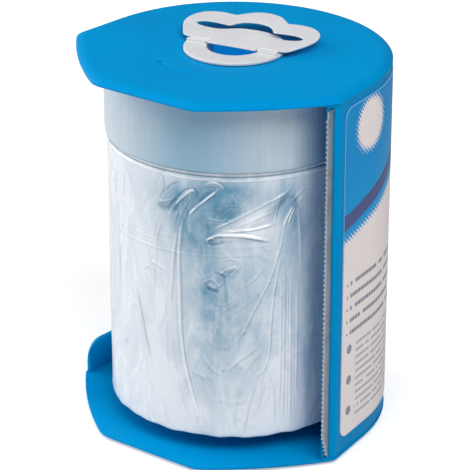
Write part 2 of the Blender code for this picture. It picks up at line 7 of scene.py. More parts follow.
import bpy
import numpy as np
from mathutils import Euler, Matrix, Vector


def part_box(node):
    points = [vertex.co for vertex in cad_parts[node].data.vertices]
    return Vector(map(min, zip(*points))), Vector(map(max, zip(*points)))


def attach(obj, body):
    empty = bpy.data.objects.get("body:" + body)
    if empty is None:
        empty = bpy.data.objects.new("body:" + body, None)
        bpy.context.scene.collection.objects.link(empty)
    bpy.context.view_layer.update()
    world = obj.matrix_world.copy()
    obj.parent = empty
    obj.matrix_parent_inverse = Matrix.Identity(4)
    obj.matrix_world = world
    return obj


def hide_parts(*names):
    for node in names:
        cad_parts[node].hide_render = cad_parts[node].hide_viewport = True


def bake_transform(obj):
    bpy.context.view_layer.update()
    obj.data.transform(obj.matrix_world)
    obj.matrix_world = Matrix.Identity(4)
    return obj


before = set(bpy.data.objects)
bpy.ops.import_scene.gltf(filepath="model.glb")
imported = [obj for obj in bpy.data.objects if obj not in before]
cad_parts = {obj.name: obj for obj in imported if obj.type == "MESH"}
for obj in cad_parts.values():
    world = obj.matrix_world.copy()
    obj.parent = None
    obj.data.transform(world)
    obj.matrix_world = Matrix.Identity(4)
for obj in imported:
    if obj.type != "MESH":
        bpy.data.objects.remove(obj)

LOG = logging.getLogger("dispenser")
Array = np.ndarray
Colour = tuple[float, float, float]
Material = bpy.types.Material
Piece = bpy.types.Object
Socket = bpy.types.NodeSocket
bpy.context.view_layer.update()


class Body(str, Enum):
    """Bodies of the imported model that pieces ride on."""

    CASE = "case"
    ROLL = "roll"
    HANGER = "hanger"
    TAB = "tab"


class Slot(str, Enum):
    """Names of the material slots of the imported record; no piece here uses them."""

    STEEL = "blade_steel"
    LABEL = "label_paper"
    TAPE = "tape_paper"
    FILM = "film_clear"
    WHITE = "hanger_white"


# Meshes worked out as whole arrays


def grid_faces(rows: int, columns: int, wrap_rows: bool, wrap_columns: bool) -> Array:
    """Corner numbers of the quads of a grid of points, stored row after row.

    Args:
        rows: How many rows of points there are.
        columns: How many points each row has.
        wrap_rows: Whether the last row joins the first.
        wrap_columns: Whether the last point of a row joins its first.

    Returns:
        One line of four corner numbers for each quad.
    """
    low = np.arange(rows if wrap_rows else rows - 1)[:, None]
    left = np.arange(columns if wrap_columns else columns - 1)[None, :]
    high, right = (low + 1) % rows, (left + 1) % columns
    corners = (low * columns + left, low * columns + right, high * columns + right, high * columns + left)
    return np.stack(corners, axis=-1).reshape(-1, 4)


def add_piece(name: str, points: Array, faces: Sequence, material: Material,
              crease: float) -> Piece:
    """Put points and faces into a new smooth object that sits at the origin.

    Args:
        name: Name of the piece.
        points: One line of X, Y and Z for each corner.
        faces: Corner numbers of each face, turning counter-clockwise seen from outside.
        material: The finish of the whole piece.
        crease: Angle in degrees above which an edge stays sharp.

    Returns:
        The new object, linked to the scene.
    """
    mesh = bpy.data.meshes.new(name)
    mesh.from_pydata(np.asarray(points, dtype=float).tolist(), [], [list(map(int, face)) for face in faces])
    mesh.materials.append(material)
    mesh.shade_smooth()
    mesh.set_sharp_from_angle(angle=math.radians(crease))
    piece = bpy.data.objects.new(name, mesh)
    bpy.context.scene.collection.objects.link(piece)
    return piece


def paint(piece: Piece, name: str, values: Array) -> None:
    """Give each corner of a piece one number that its finish can read.

    Args:
        piece: The piece to paint.
        name: Name of the attribute.
        values: One number for each corner.
    """
    layer = piece.data.attributes.new(name, "FLOAT", "POINT")
    layer.data.foreach_set("value", np.asarray(values, dtype=np.float32).ravel())


def lay_uv(piece: Piece, places: Array) -> None:
    """Give each face corner the flat place of its point, in millimetres.

    Args:
        piece: The piece to map.
        places: Across and up for each point.
    """
    corners = np.empty(len(piece.data.loops), dtype=np.int32)
    piece.data.loops.foreach_get("vertex_index", corners)
    layer = piece.data.uv_layers.new(name="flat")
    layer.data.foreach_set("uv", places[corners].astype(np.float32).ravel())


def columns_of(*parts: Array) -> Array:
    """Points from arrays of X, Y and Z that match in shape, one line each."""
    return np.column_stack([np.ravel(part) for part in np.broadcast_arrays(*parts)])


def cylinder_points(radius: Array, angle: Array, height: Array) -> Array:
    """Points at a radius and an angle round the Z axis and at a height, one line each."""
    return columns_of(radius * np.cos(angle), radius * np.sin(angle), height)


def bell(value: Array, middle: float, width: float) -> Array:
    """A bell curve of a value: 1 at its middle and less by a factor e at its width."""
    return np.exp(-((value - middle) / width) ** 2)


def smooth_line(points: Sequence, steps: int) -> Array:
    """A smooth line through points: a cubic on each four neighbours that passes the middle two.

    Args:
        points: The points to pass, one a line.
        steps: How many points each stretch gets.

    Returns:
        The points of the line, from the first to the last.
    """
    points = np.array(points, dtype=float)
    padded = np.vstack((2 * points[0] - points[1], points, 2 * points[-1] - points[-2]))
    p, q, r, s = padded[:-3, None], padded[1:-2, None], padded[2:-1, None], padded[3:, None]
    t = np.linspace(0, 1, steps, endpoint=False)[None, :, None]
    bend = (2 * p - 5 * q + 4 * r - s) * t ** 2
    line = 0.5 * (2 * q + (r - p) * t + bend + (3 * q - p - 3 * r + s) * t ** 3)
    return np.vstack((line.reshape(-1, points.shape[1]), points[-1:]))


# Finishes, built from nodes


class NodeDesk:
    """A desk on which the shader of one material, or of the world, is put together from nodes."""

    def __init__(self, owner: bpy.types.ID, shader: str = "Principled BSDF") -> None:
        """Start from the shader node that the owner comes with.

        Args:
            owner: The material or world.
            shader: Name of its shader node.
        """
        owner.use_nodes = True
        self.owner = owner
        self.tree = owner.node_tree
        self.shader = self.tree.nodes[shader]
        self.place = self.add("ShaderNodeTexCoord").outputs["Object"]

    def add(self, kind: str, inputs: Optional[dict] = None, **settings: object) -> bpy.types.Node:
        """Add a node, set its properties by name and feed its inputs by name or number."""
        node = self.tree.nodes.new(kind)
        for name, value in settings.items():
            setattr(node, name, value)
        for name, value in (inputs or {}).items():
            self.feed(node.inputs[name], value)
        return node

    def feed(self, socket: Socket, value: object) -> None:
        """Link a socket to another one, or set it to a plain value."""
        if isinstance(value, Socket):
            self.tree.links.new(value, socket)
        elif isinstance(value, tuple) and socket.type == "RGBA":
            socket.default_value = (*value, 1.0)
        else:
            socket.default_value = value

    def set(self, **values: object) -> None:
        """Feed the shader's inputs, named with underscores for spaces."""
        for name, value in values.items():
            self.feed(self.shader.inputs[name.replace("_", " ")], value)

    def stretched(self, scale: tuple, source: Optional[Socket] = None,
                  turn: tuple = (0.0, 0.0, 0.0)) -> Socket:
        """The piece's own coordinates, stretched and turned for a directional pattern."""
        inputs = {"Vector": source or self.place, "Scale": scale, "Rotation": turn}
        return self.add("ShaderNodeMapping", inputs).outputs["Vector"]

    def noise(self, scale: float, detail: float = 3.0, rough: float = 0.55, warp: float = 0.0,
              source: Optional[Socket] = None) -> Socket:
        """Cloudy noise from 0 to 1 on the piece's own coordinates."""
        inputs = {"Vector": source or self.place, "Scale": scale, "Detail": detail, "Roughness": rough,
                  "Distortion": warp}
        return self.add("ShaderNodeTexNoise", inputs).outputs["Fac"]

    def ridges(self, scale: float, warp: float, source: Socket) -> Socket:
        """Sharp chance ridges from 0 to 1, like those of crumpled film."""
        inputs = {"Vector": source, "Scale": scale, "Detail": 2.5, "Roughness": 0.45, "Offset": 0.9,
                  "Gain": 1.3, "Distortion": warp}
        node = self.add("ShaderNodeTexNoise", inputs, noise_type="RIDGED_MULTIFRACTAL", normalize=False)
        return self.between(node.outputs["Fac"], 0.55, 1.2)

    def facets(self, scale: float, shift: float, source: Socket) -> tuple:
        """Cells of crumpled film: a chance number for each and the distance to its middle."""
        cloud = self.add("ShaderNodeTexNoise", {"Vector": self.place, "Scale": 160.0}).outputs["Color"]
        shifted = self.vector("MULTIPLY_ADD", cloud, (shift, shift, shift), source)
        node = self.add("ShaderNodeTexVoronoi", {"Scale": scale, "Vector": shifted})
        return node.outputs["Color"], node.outputs["Distance"]

    def attribute(self, name: str) -> Socket:
        """A number painted on the piece's corners."""
        return self.add("ShaderNodeAttribute", attribute_name=name).outputs["Fac"]

    def math(self, operation: str, first: object, second: object = 0.0, clamp: bool = False) -> Socket:
        """One sum of two numbers or sockets."""
        node = self.add("ShaderNodeMath", {0: first, 1: second}, operation=operation, use_clamp=clamp)
        return node.outputs["Value"]

    def times(self, first: object, second: object) -> Socket:
        """One number multiplied by another."""
        return self.math("MULTIPLY", first, second)

    def vector(self, operation: str, *values: object) -> Socket:
        """One sum of vectors, whose result is a vector, or a number for a length or a dot product."""
        node = self.add("ShaderNodeVectorMath", dict(enumerate(values)), operation=operation)
        return node.outputs["Value" if operation in ("LENGTH", "DOT_PRODUCT") else "Vector"]

    def between(self, value: Socket, low: float, high: float, start: float = 0.0, end: float = 1.0,
                way: str = "SMOOTHSTEP") -> Socket:
        """A number carried from one range to another, smoothly unless the way says else, held at the ends."""
        inputs = {"Value": value, "From Min": low, "From Max": high, "To Min": start, "To Max": end}
        return self.add("ShaderNodeMapRange", inputs, interpolation_type=way).outputs["Result"]

    def blend(self, share: object, first: object, second: object) -> Socket:
        """Two colours blended by a share from 0 to 1."""
        return self.add("ShaderNodeMix", {0: share, 6: first, 7: second}, data_type="RGBA").outputs[2]

    def layers(self, tone: object, *coats: tuple) -> Socket:
        """Colours laid over a tone one after another, each with a share from 0 to 1."""
        for share, colour in coats:
            tone = self.blend(share, tone, colour)
        return tone

    def relief(self, height: Socket, depth: float, below: Optional[Socket] = None) -> Socket:
        """A fine relief whose full height is the given depth in metres."""
        inputs = {"Strength": 1.0, "Distance": depth, "Height": height}
        if below is not None:
            inputs["Normal"] = below
        return self.add("ShaderNodeBump", inputs).outputs["Normal"]

    def rounded(self, radius: float, samples: int) -> Socket:
        """Normals that round off each edge to a radius."""
        return self.add("ShaderNodeBevel", {"Radius": radius}, samples=samples).outputs["Normal"]


@dataclass(frozen=True)
class Finish:
    """What all finishes share: a name and a desk to build on."""

    name: str

    def desk(self) -> NodeDesk:
        """A desk with a new material of this name."""
        return NodeDesk(bpy.data.materials.new(self.name))


@dataclass(frozen=True)
class MouldedPlastic(Finish):
    """Satin moulded plastic, a little see-through: faint flow clouds, a fine grain and softened edges."""

    name: str = "case_blue"
    colour: Colour = (0.0, 0.268, 0.61)
    cloud_colour: Colour = (0.0, 0.292, 0.64)
    shine_colour: Colour = (0.05, 0.5, 1.0)
    scuff_colour: Colour = (0.03, 0.36, 0.72)
    bore_glow_colour: Colour = (0.0, 0.125, 0.33)
    roughness: float = 0.40
    grain_scale: float = 2600.0
    grain_depth: float = 0.000010
    cloud_scale: float = 22.0
    edge_radius: float = 0.0007
    bore_radius: float = 0.0113
    bore_fade: float = 0.0004

    def material(self) -> Material:
        """Build the material and return it. Inside the bore it glows: painted light, an emission that stands
        in for light reaching the bore.
        """
        desk = self.desk()
        clouds = desk.between(desk.noise(self.cloud_scale, 3.0, 0.5, 0.6), 0.3, 0.7)
        grain = desk.noise(self.grain_scale, 2.0, 0.6)
        scratch = desk.noise(300.0, 2.0, 0.5, 0.0, desk.stretched((1.0, 0.06, 1.0), turn=(0.0, 0.0, 0.7)))
        scuffs = desk.times(desk.between(scratch, 0.70, 0.78), desk.between(clouds, 0.5, 0.9))
        tone = desk.layers(self.colour, (clouds, self.cloud_colour),
                           (desk.times(scuffs, 0.12), self.scuff_colour))
        rough = desk.between(clouds, 0.0, 1.0, self.roughness, self.roughness + 0.06)
        # Painted glow: inside the bore's radius the plastic gives off a dim blue light of its own
        from_axis = desk.vector("LENGTH", desk.vector("MULTIPLY", desk.place, (1.0, 1.0, 0.0)))
        painted_glow = desk.between(from_axis, self.bore_radius, self.bore_radius + self.bore_fade, 1.0, 0.0)
        desk.set(Base_Color=tone, Roughness=desk.math("ADD", rough, desk.times(scuffs, 0.1)), IOR=1.49,
                 Specular_IOR_Level=0.06, Specular_Tint=self.shine_colour,
                 Emission_Color=self.bore_glow_colour, Emission_Strength=painted_glow,
                 Subsurface_Weight=0.2, Subsurface_Radius=(0.3, 0.7, 1.0), Subsurface_Scale=0.003,
                 Normal=desk.relief(grain, self.grain_depth, desk.rounded(self.edge_radius, 6)))
        return desk.owner


@dataclass(frozen=True)
class MilkyPlastic(Finish):
    """Thin natural polypropylene: off-white, a little see-through, with a painted highlight along its edges.
    """

    name: str = "hanger_white"
    colour: Colour = (0.66, 0.665, 0.69)
    edge_colour: Colour = (0.86, 0.87, 0.90)
    roughness: float = 0.42
    edge_radius: float = 0.0005
    grain_depth: float = 0.000014

    def material(self) -> Material:
        """Build the material and return it. The painted edge highlight is where a rounded normal leaves the
        true one, and where a piece paints its edge number.
        """
        desk = self.desk()
        streaks = desk.noise(900.0, 2.0, 0.5, 0.4, desk.stretched((0.25, 1.0, 1.0)))
        clouds = desk.noise(70.0, 3.0, 0.5)
        rounded = desk.rounded(self.edge_radius, 8)
        turn = desk.vector("DOT_PRODUCT", rounded, desk.add("ShaderNodeNewGeometry").outputs["True Normal"])
        # Painted highlight along the edges, in the lighter colour that the random clouds and streaks also use
        edge = desk.math("MAXIMUM", desk.between(turn, 0.99, 0.86), desk.attribute("edge"))
        shares = (desk.between(clouds, 0.3, 0.7, 0.0, 0.25), desk.between(streaks, 0.45, 0.75, 0.0, 0.22),
                  desk.times(edge, 0.8))
        tone = desk.layers(self.colour, *((share, self.edge_colour) for share in shares))
        desk.set(Base_Color=tone, Roughness=self.roughness, IOR=1.49, Specular_IOR_Level=0.3,
                 Subsurface_Weight=0.3, Subsurface_Radius=(1.0, 1.0, 1.0), Subsurface_Scale=0.0015,
                 Normal=desk.relief(desk.noise(1800.0, 2.0, 0.5), self.grain_depth, rounded))
        return desk.owner


@dataclass(frozen=True)
class RolledSteel(Finish):
    """Thin rolled steel strip with fine lines along its length and bright ground teeth."""

    name: str = "cutter_steel"
    colour: Colour = (0.34, 0.37, 0.41)
    ground_colour: Colour = (0.70, 0.73, 0.76)
    stain_colour: Colour = (0.12, 0.14, 0.16)
    roughness: float = 0.36
    line_depth: float = 0.000006

    def material(self) -> Material:
        """Build the material and return it."""
        desk = self.desk()
        lines = desk.noise(5200.0, 3.0, 0.6, 0.0, desk.stretched((1.0, 1.0, 0.012)))
        stain = desk.between(desk.noise(90.0, 4.0, 0.6, 0.8), 0.42, 0.72)
        tone = desk.layers(self.colour, (desk.between(lines, 0.3, 0.7, 0.0, 0.2), self.ground_colour),
                           (desk.times(stain, 0.3), self.stain_colour),
                           (desk.attribute("ground"), self.ground_colour))
        rough = desk.between(lines, 0.2, 0.8, self.roughness - 0.05, self.roughness + 0.09)
        desk.set(Base_Color=tone, Metallic=1.0, Roughness=desk.math("ADD", rough, desk.times(stain, 0.1)),
                 Normal=desk.relief(lines, self.line_depth))
        return desk.owner


@dataclass(frozen=True)
class CrepedPaper(Finish):
    """Creped masking tape, wound tight: fine upright creases, a soft sheen and faint mottling, with painted
    reflection and shade in front and painted shade along its lower edge.
    """

    name: str = "creped_tape"
    colour: Colour = (0.58, 0.66, 0.73)
    light_colour: Colour = (0.72, 0.79, 0.85)
    dark_colour: Colour = (0.42, 0.51, 0.60)
    painted_reflection_shade_colour: Colour = (0.24, 0.44, 0.60)
    edge_colour: Colour = (0.06, 0.13, 0.19)
    fine_depth: float = 0.000012
    broad_depth: float = 0.000018

    def material(self) -> Material:
        """Build the material and return it."""
        desk = self.desk()
        upright = desk.noise(1500.0, 3.0, 0.65, 0.15, desk.stretched((1.0, 1.0, 0.05)))
        broad = desk.noise(210.0, 3.0, 0.6, 0.2, desk.stretched((1.0, 1.0, 0.08)))
        mottle = desk.noise(60.0, 3.0, 0.5)
        tone = desk.layers(self.dark_colour, (desk.between(upright, 0.3, 0.72), self.light_colour),
                           (0.8, self.colour),
                           (desk.between(broad, 0.4, 0.7, 0.0, 0.3), self.light_colour),
                           (desk.between(mottle, 0.4, 0.75, 0.0, 0.18), self.dark_colour),
                           # Painted light: a bluer, darker tone where the tape paints it, for the blue case's
                           # reflection and shade
                           (desk.times(desk.attribute("painted_reflection_shade"), 0.9), self.painted_reflection_shade_colour),
                           # Painted shade: darkest along the tape's lower edge and on its ends
                           (desk.attribute("edge"), self.edge_colour))
        relief = desk.relief(broad, self.broad_depth, desk.relief(upright, self.fine_depth))
        desk.set(Base_Color=tone, Roughness=0.48, Normal=relief, IOR=1.45, Coat_Weight=0.1,
                 Coat_Roughness=0.3)
        return desk.owner


@dataclass(frozen=True)
class ThinFilm(Finish):
    """Milky polyethylene film in many layers: clearer and bluer where it lies tight, white in its folds, with
    painted highlights on its crests and painted shade beside its folds.
    """

    name: str = "folded_film"
    tight_colour: Colour = (0.09, 0.29, 0.45)
    loose_colour: Colour = (0.82, 0.87, 0.93)
    fold_shade_colour: Colour = (0.04, 0.17, 0.28)
    crest_white_highlight_colour: Colour = (0.93, 0.95, 0.98)
    roughness: float = 0.25
    cell_shift: float = 0.008
    depths: Sequence[float] = (0.00003, 0.00005, 0.00016, 0.00010, 0.00022)

    def material(self) -> Material:
        """Build the material and return it. The depths are those of its five layers of relief."""
        desk = self.desk()
        milk_and_shade, fold, worn = (desk.attribute(name) for name in ("milk_and_shade", "fold", "crumple"))
        clouds = desk.noise(75.0, 4.0, 0.6, 1.1, desk.stretched((1.0, 1.0, 0.45)))
        wisps = desk.noise(420.0, 3.0, 0.6, 1.4, desk.stretched((1.0, 1.0, 0.16)))
        ripples = desk.noise(620.0, 3.0, 0.55, 0.8, desk.stretched((0.35, 0.35, 1.0)))
        turned = desk.stretched((1.0, 1.0, 0.7), turn=(0.3, 0.2, 0.5))
        crumple = desk.times(desk.ridges(95.0, 1.2, turned), worn)
        upright = desk.times(desk.ridges(130.0, 0.8, desk.stretched((1.0, 1.0, 0.13))), 0.5)
        turned = desk.stretched((1.0, 1.0, 0.6), turn=(0.4, 0.1, 0.0))
        cell, cone = desk.facets(170.0, self.cell_shift, turned)
        facet = desk.times(desk.times(desk.math("SUBTRACT", cell, 0.5), 0.22), worn)
        share = desk.math("ADD", milk_and_shade, desk.between(clouds, 0.3, 0.7, -0.15, 0.15))
        share = desk.math("ADD", share, facet, clamp=True)
        # Painted light: ridge crests take the crest colour, partly the whiter doubled film and partly a
        # painted highlight; the fold number gives painted shade below 0 and painted highlight above it
        tone = desk.layers(self.tight_colour, (share, self.loose_colour),
                           (desk.between(wisps, 0.52, 0.72, 0.0, 0.22), self.loose_colour),
                           (desk.between(ripples, 0.55, 0.72, 0.0, 0.12), self.loose_colour),
                           (desk.times(crumple, 0.22), self.crest_white_highlight_colour),
                           (desk.times(upright, 0.2), self.crest_white_highlight_colour),
                           (desk.between(fold, -1.0, 0.0, 0.9, 0.0), self.fold_shade_colour),
                           (desk.between(fold, 0.05, 1.0, 0.0, 0.95), self.crest_white_highlight_colour))
        relief = None
        for height, depth in zip((ripples, wisps, crumple, upright, desk.times(cone, worn)), self.depths):
            relief = desk.relief(height, depth, relief)
        rough = desk.between(clouds, 0.3, 0.7, self.roughness - 0.06, self.roughness + 0.08)
        desk.set(Base_Color=tone, Roughness=rough, IOR=1.51, Normal=relief, Coat_Weight=0.3,
                 Coat_Roughness=0.12, Coat_Normal=relief, Subsurface_Weight=0.1,
                 Subsurface_Radius=(1.0, 1.0, 1.0), Subsurface_Scale=0.0005)
        return desk.owner


class LabelPrint:
    """The marks on the label, drawn with nodes. All places are in millimetres of the flat label."""

    disc_place = (20.0, 119.2)
    disc_radius = 7.5
    halo_radius = 10.9
    speck_heights = (79.0, 85.0)
    soft_edge = 0.1

    def __init__(self, desk: NodeDesk) -> None:
        """Take the places on the flat label from its map.

        Args:
            desk: The finish that the marks belong to.
        """
        self.desk = desk
        self.flat = desk.add("ShaderNodeUVMap", uv_map="flat").outputs["UV"]
        parts = desk.add("ShaderNodeSeparateXYZ", {"Vector": self.flat}).outputs
        self.across, self.up = parts["X"], parts["Y"]

    def sweep(self) -> Socket:
        """Height above a curve that climbs away from the side corner."""
        power = self.desk.math("POWER", self.desk.math("MAXIMUM", self.across, 0.0), 1.6)
        return self.desk.math("ADD", self.up, self.desk.times(power, -0.028))

    def inside(self, value: Socket, low: float, high: float) -> Socket:
        """1 between two values and 0 outside them, with soft edges."""
        return self.desk.times(self.desk.between(value, low, low + self.soft_edge),
                               self.desk.between(value, high, high - self.soft_edge))

    def net(self, density: float) -> Socket:
        """Distance to the middle of a mesh of a turned square net, as a share of the mesh."""
        turned = self.desk.stretched((density, density, 0.0), self.flat, (0.0, 0.0, math.radians(45)))
        centred = self.desk.vector("SUBTRACT", self.desk.vector("FRACTION", turned), (0.5, 0.5, 0.0))
        return self.desk.vector("LENGTH", centred)

    def specks(self, sweep: Socket) -> Socket:
        """Round specks that shrink as they climb from the pale field into the blue."""
        size = self.desk.times(self.desk.between(sweep, *self.speck_heights, 0.66, 0.0),
                               self.desk.math("GREATER_THAN", sweep, 79.6))
        return self.desk.math("LESS_THAN", self.net(0.72), size)

    def squared_reach(self, x: Socket, y: Socket) -> Socket:
        """The square of the distance that two sides of a right angle give."""
        return self.desk.math("ADD", self.desk.times(x, x), self.desk.times(y, y))

    def disc(self) -> Socket:
        """A plain disc with a halo of small dots that shrink outward."""
        desk = self.desk
        x, y = (desk.math("SUBTRACT", *pair) for pair in zip((self.across, self.up), self.disc_place))
        radius = desk.math("SQRT", self.squared_reach(x, y))
        near = desk.math("LESS_THAN", radius, self.halo_radius)
        size = desk.times(desk.between(radius, 7.2, 11.0, 0.62, 0.12), near)
        halo = desk.math("LESS_THAN", self.net(0.8), size)
        return desk.math("MAXIMUM", desk.between(radius, self.disc_radius, self.disc_radius - 0.2), halo)

    def marks(self) -> Socket:
        """Ruled dashes in two blocks and a column of dots beside each, from 0 to 1."""
        heavy = self.rules((8.0, 60.0), (44.5, 67.5), (4.6, 0.32, 1.9))
        light = self.rules((12.5, 60.0), (13.0, 43.0), (2.7, 0.36, 1.3))
        small = self.dots((6.0, 0.5, 4.6), (44.5, 67.5))
        large = self.dots((8.0, 1.7, 11.7), (11.4, 46.4))
        desk = self.desk
        ruled = desk.math("MAXIMUM", desk.times(heavy, 0.85), desk.times(light, 0.6))
        return desk.math("MAXIMUM", ruled, desk.times(desk.math("MAXIMUM", small, large), 0.8))

    def dots(self, dot: Sequence[float], tall: Sequence[float]) -> Socket:
        """A column of dots: the height is cut into steps with a dot in the middle of each.

        Args:
            dot: Where the column stands, the radius of a dot and the step from one to the next.
            tall: Where the column starts and ends upward.

        Returns:
            1 on a dot and 0 elsewhere.
        """
        place, radius, pitch = dot
        desk = self.desk
        x = desk.math("SUBTRACT", self.across, place)
        y = desk.math("FRACT", desk.math("DIVIDE", desk.math("SUBTRACT", self.up, tall[0]), pitch))
        y = desk.times(desk.math("SUBTRACT", y, 0.5), pitch)
        dotted = desk.math("LESS_THAN", self.squared_reach(x, y), radius * radius)
        return desk.times(dotted, self.inside(self.up, *tall))

    def rules(self, wide: Sequence[float], tall: Sequence[float], dash: Sequence[float]) -> Socket:
        """Ruled dashes in a block, left out where chance noise on a dash-sized cell is low.

        Args:
            wide: Where the block starts and ends across.
            tall: Where the block starts and ends upward.
            dash: Pitch of the lines, their weight as a share of it and the length of a dash.

        Returns:
            1 on a dash and 0 elsewhere.
        """
        pitch, weight, length = dash
        desk = self.desk
        row, column = desk.math("DIVIDE", self.up, pitch), desk.math("DIVIDE", self.across, length)
        line = desk.math("LESS_THAN", desk.math("FRACT", row), weight)
        cell = desk.add("ShaderNodeCombineXYZ", {0: desk.math("FLOOR", column), 1: desk.math("FLOOR", row)})
        place = {"Vector": cell.outputs["Vector"]}
        chance = desk.add("ShaderNodeTexWhiteNoise", place, noise_dimensions="2D")
        gap = desk.math("LESS_THAN", desk.math("FRACT", column), 0.88)
        kept = desk.times(desk.math("GREATER_THAN", chance.outputs["Value"], 0.12), gap)
        field = desk.times(self.inside(self.across, *wide), self.inside(self.up, *tall))
        return desk.times(desk.times(line, kept), field)


@dataclass(frozen=True)
class PrintedLabel(Finish):
    """Coated label: blue above, warm pale grey below, with a slate band, dots and ruled lines between."""

    name: str = "label_print"
    blue: Colour = (0.0, 0.29, 0.68)
    light_blue: Colour = (0.002, 0.33, 0.73)
    slate: Colour = (0.085, 0.105, 0.27)
    pale: Colour = (0.92, 0.85, 0.84)
    edge_colour: Colour = (0.25, 0.53, 0.80)
    ink: Colour = (0.17, 0.18, 0.28)
    blue_fade: tuple = (84.0, 112.0)
    band: tuple = (85.6, 91.2)
    field_edge: tuple = (80.1, 79.7)
    fibre_depth: float = 0.000006

    def material(self) -> Material:
        """Build the material and return it. Fade, band and field edge are heights on the sweep."""
        desk = self.desk()
        art = LabelPrint(desk)
        sweep = art.sweep()
        tone = desk.layers(self.light_blue, (desk.between(sweep, *self.blue_fade), self.blue),
                           (art.inside(sweep, *self.band), self.slate),
                           (desk.between(sweep, *self.field_edge),
                            desk.blend(art.marks(), self.pale, self.ink)),
                           (art.specks(sweep), self.pale), (art.disc(), self.pale),
                           (desk.attribute("border"), self.edge_colour))
        fibre = desk.noise(1400.0, 3.0, 0.6)
        desk.set(Base_Color=tone, Roughness=desk.between(fibre, 0.3, 0.7, 0.38, 0.46), IOR=1.5,
                 Specular_IOR_Level=0.08, Normal=desk.relief(fibre, self.fibre_depth))
        return desk.owner


@dataclass(frozen=True)
class WoundCard(Finish):
    """Brown card wound in a slant, with a faint seam and fibres."""

    name: str = "core_card"
    colour: Colour = (0.42, 0.30, 0.19)
    dark_colour: Colour = (0.28, 0.19, 0.11)
    fibre_depth: float = 0.00004

    def material(self) -> Material:
        """Build the material and return it."""
        desk = self.desk()
        fibre = desk.noise(900.0, 4.0, 0.65, 0.3, desk.stretched((1.0, 1.0, 0.4)))
        slanted = desk.stretched((1.0, 1.0, 1.0), turn=(0.5, 0.0, 0.0))
        wave = desk.add("ShaderNodeTexWave", {"Vector": slanted, "Scale": 22.0}, bands_direction="Z")
        seam = desk.between(wave.outputs["Fac"], 0.0, 0.08, 1.0, 0.0)
        tone = desk.layers(self.dark_colour, (desk.between(fibre, 0.3, 0.7), self.colour),
                           (desk.times(seam, 0.6), self.dark_colour))
        desk.set(Base_Color=tone, Roughness=0.82, Normal=desk.relief(fibre, self.fibre_depth))
        return desk.owner


# The roll


@dataclass(frozen=True)
class Crease:
    """One fold line of the film: width and rise in mm, painted lightness (highlight above 0, shade below),
    and places in degrees and mm.
    """

    width: float
    rise: float
    tone: float
    places: Array


@dataclass(frozen=True)
class Patch:
    """A soft round area of the film: its middle and reach in degrees and mm, and its change of whiteness."""

    angle: float
    height: float
    wide: float
    tall: float
    change: float


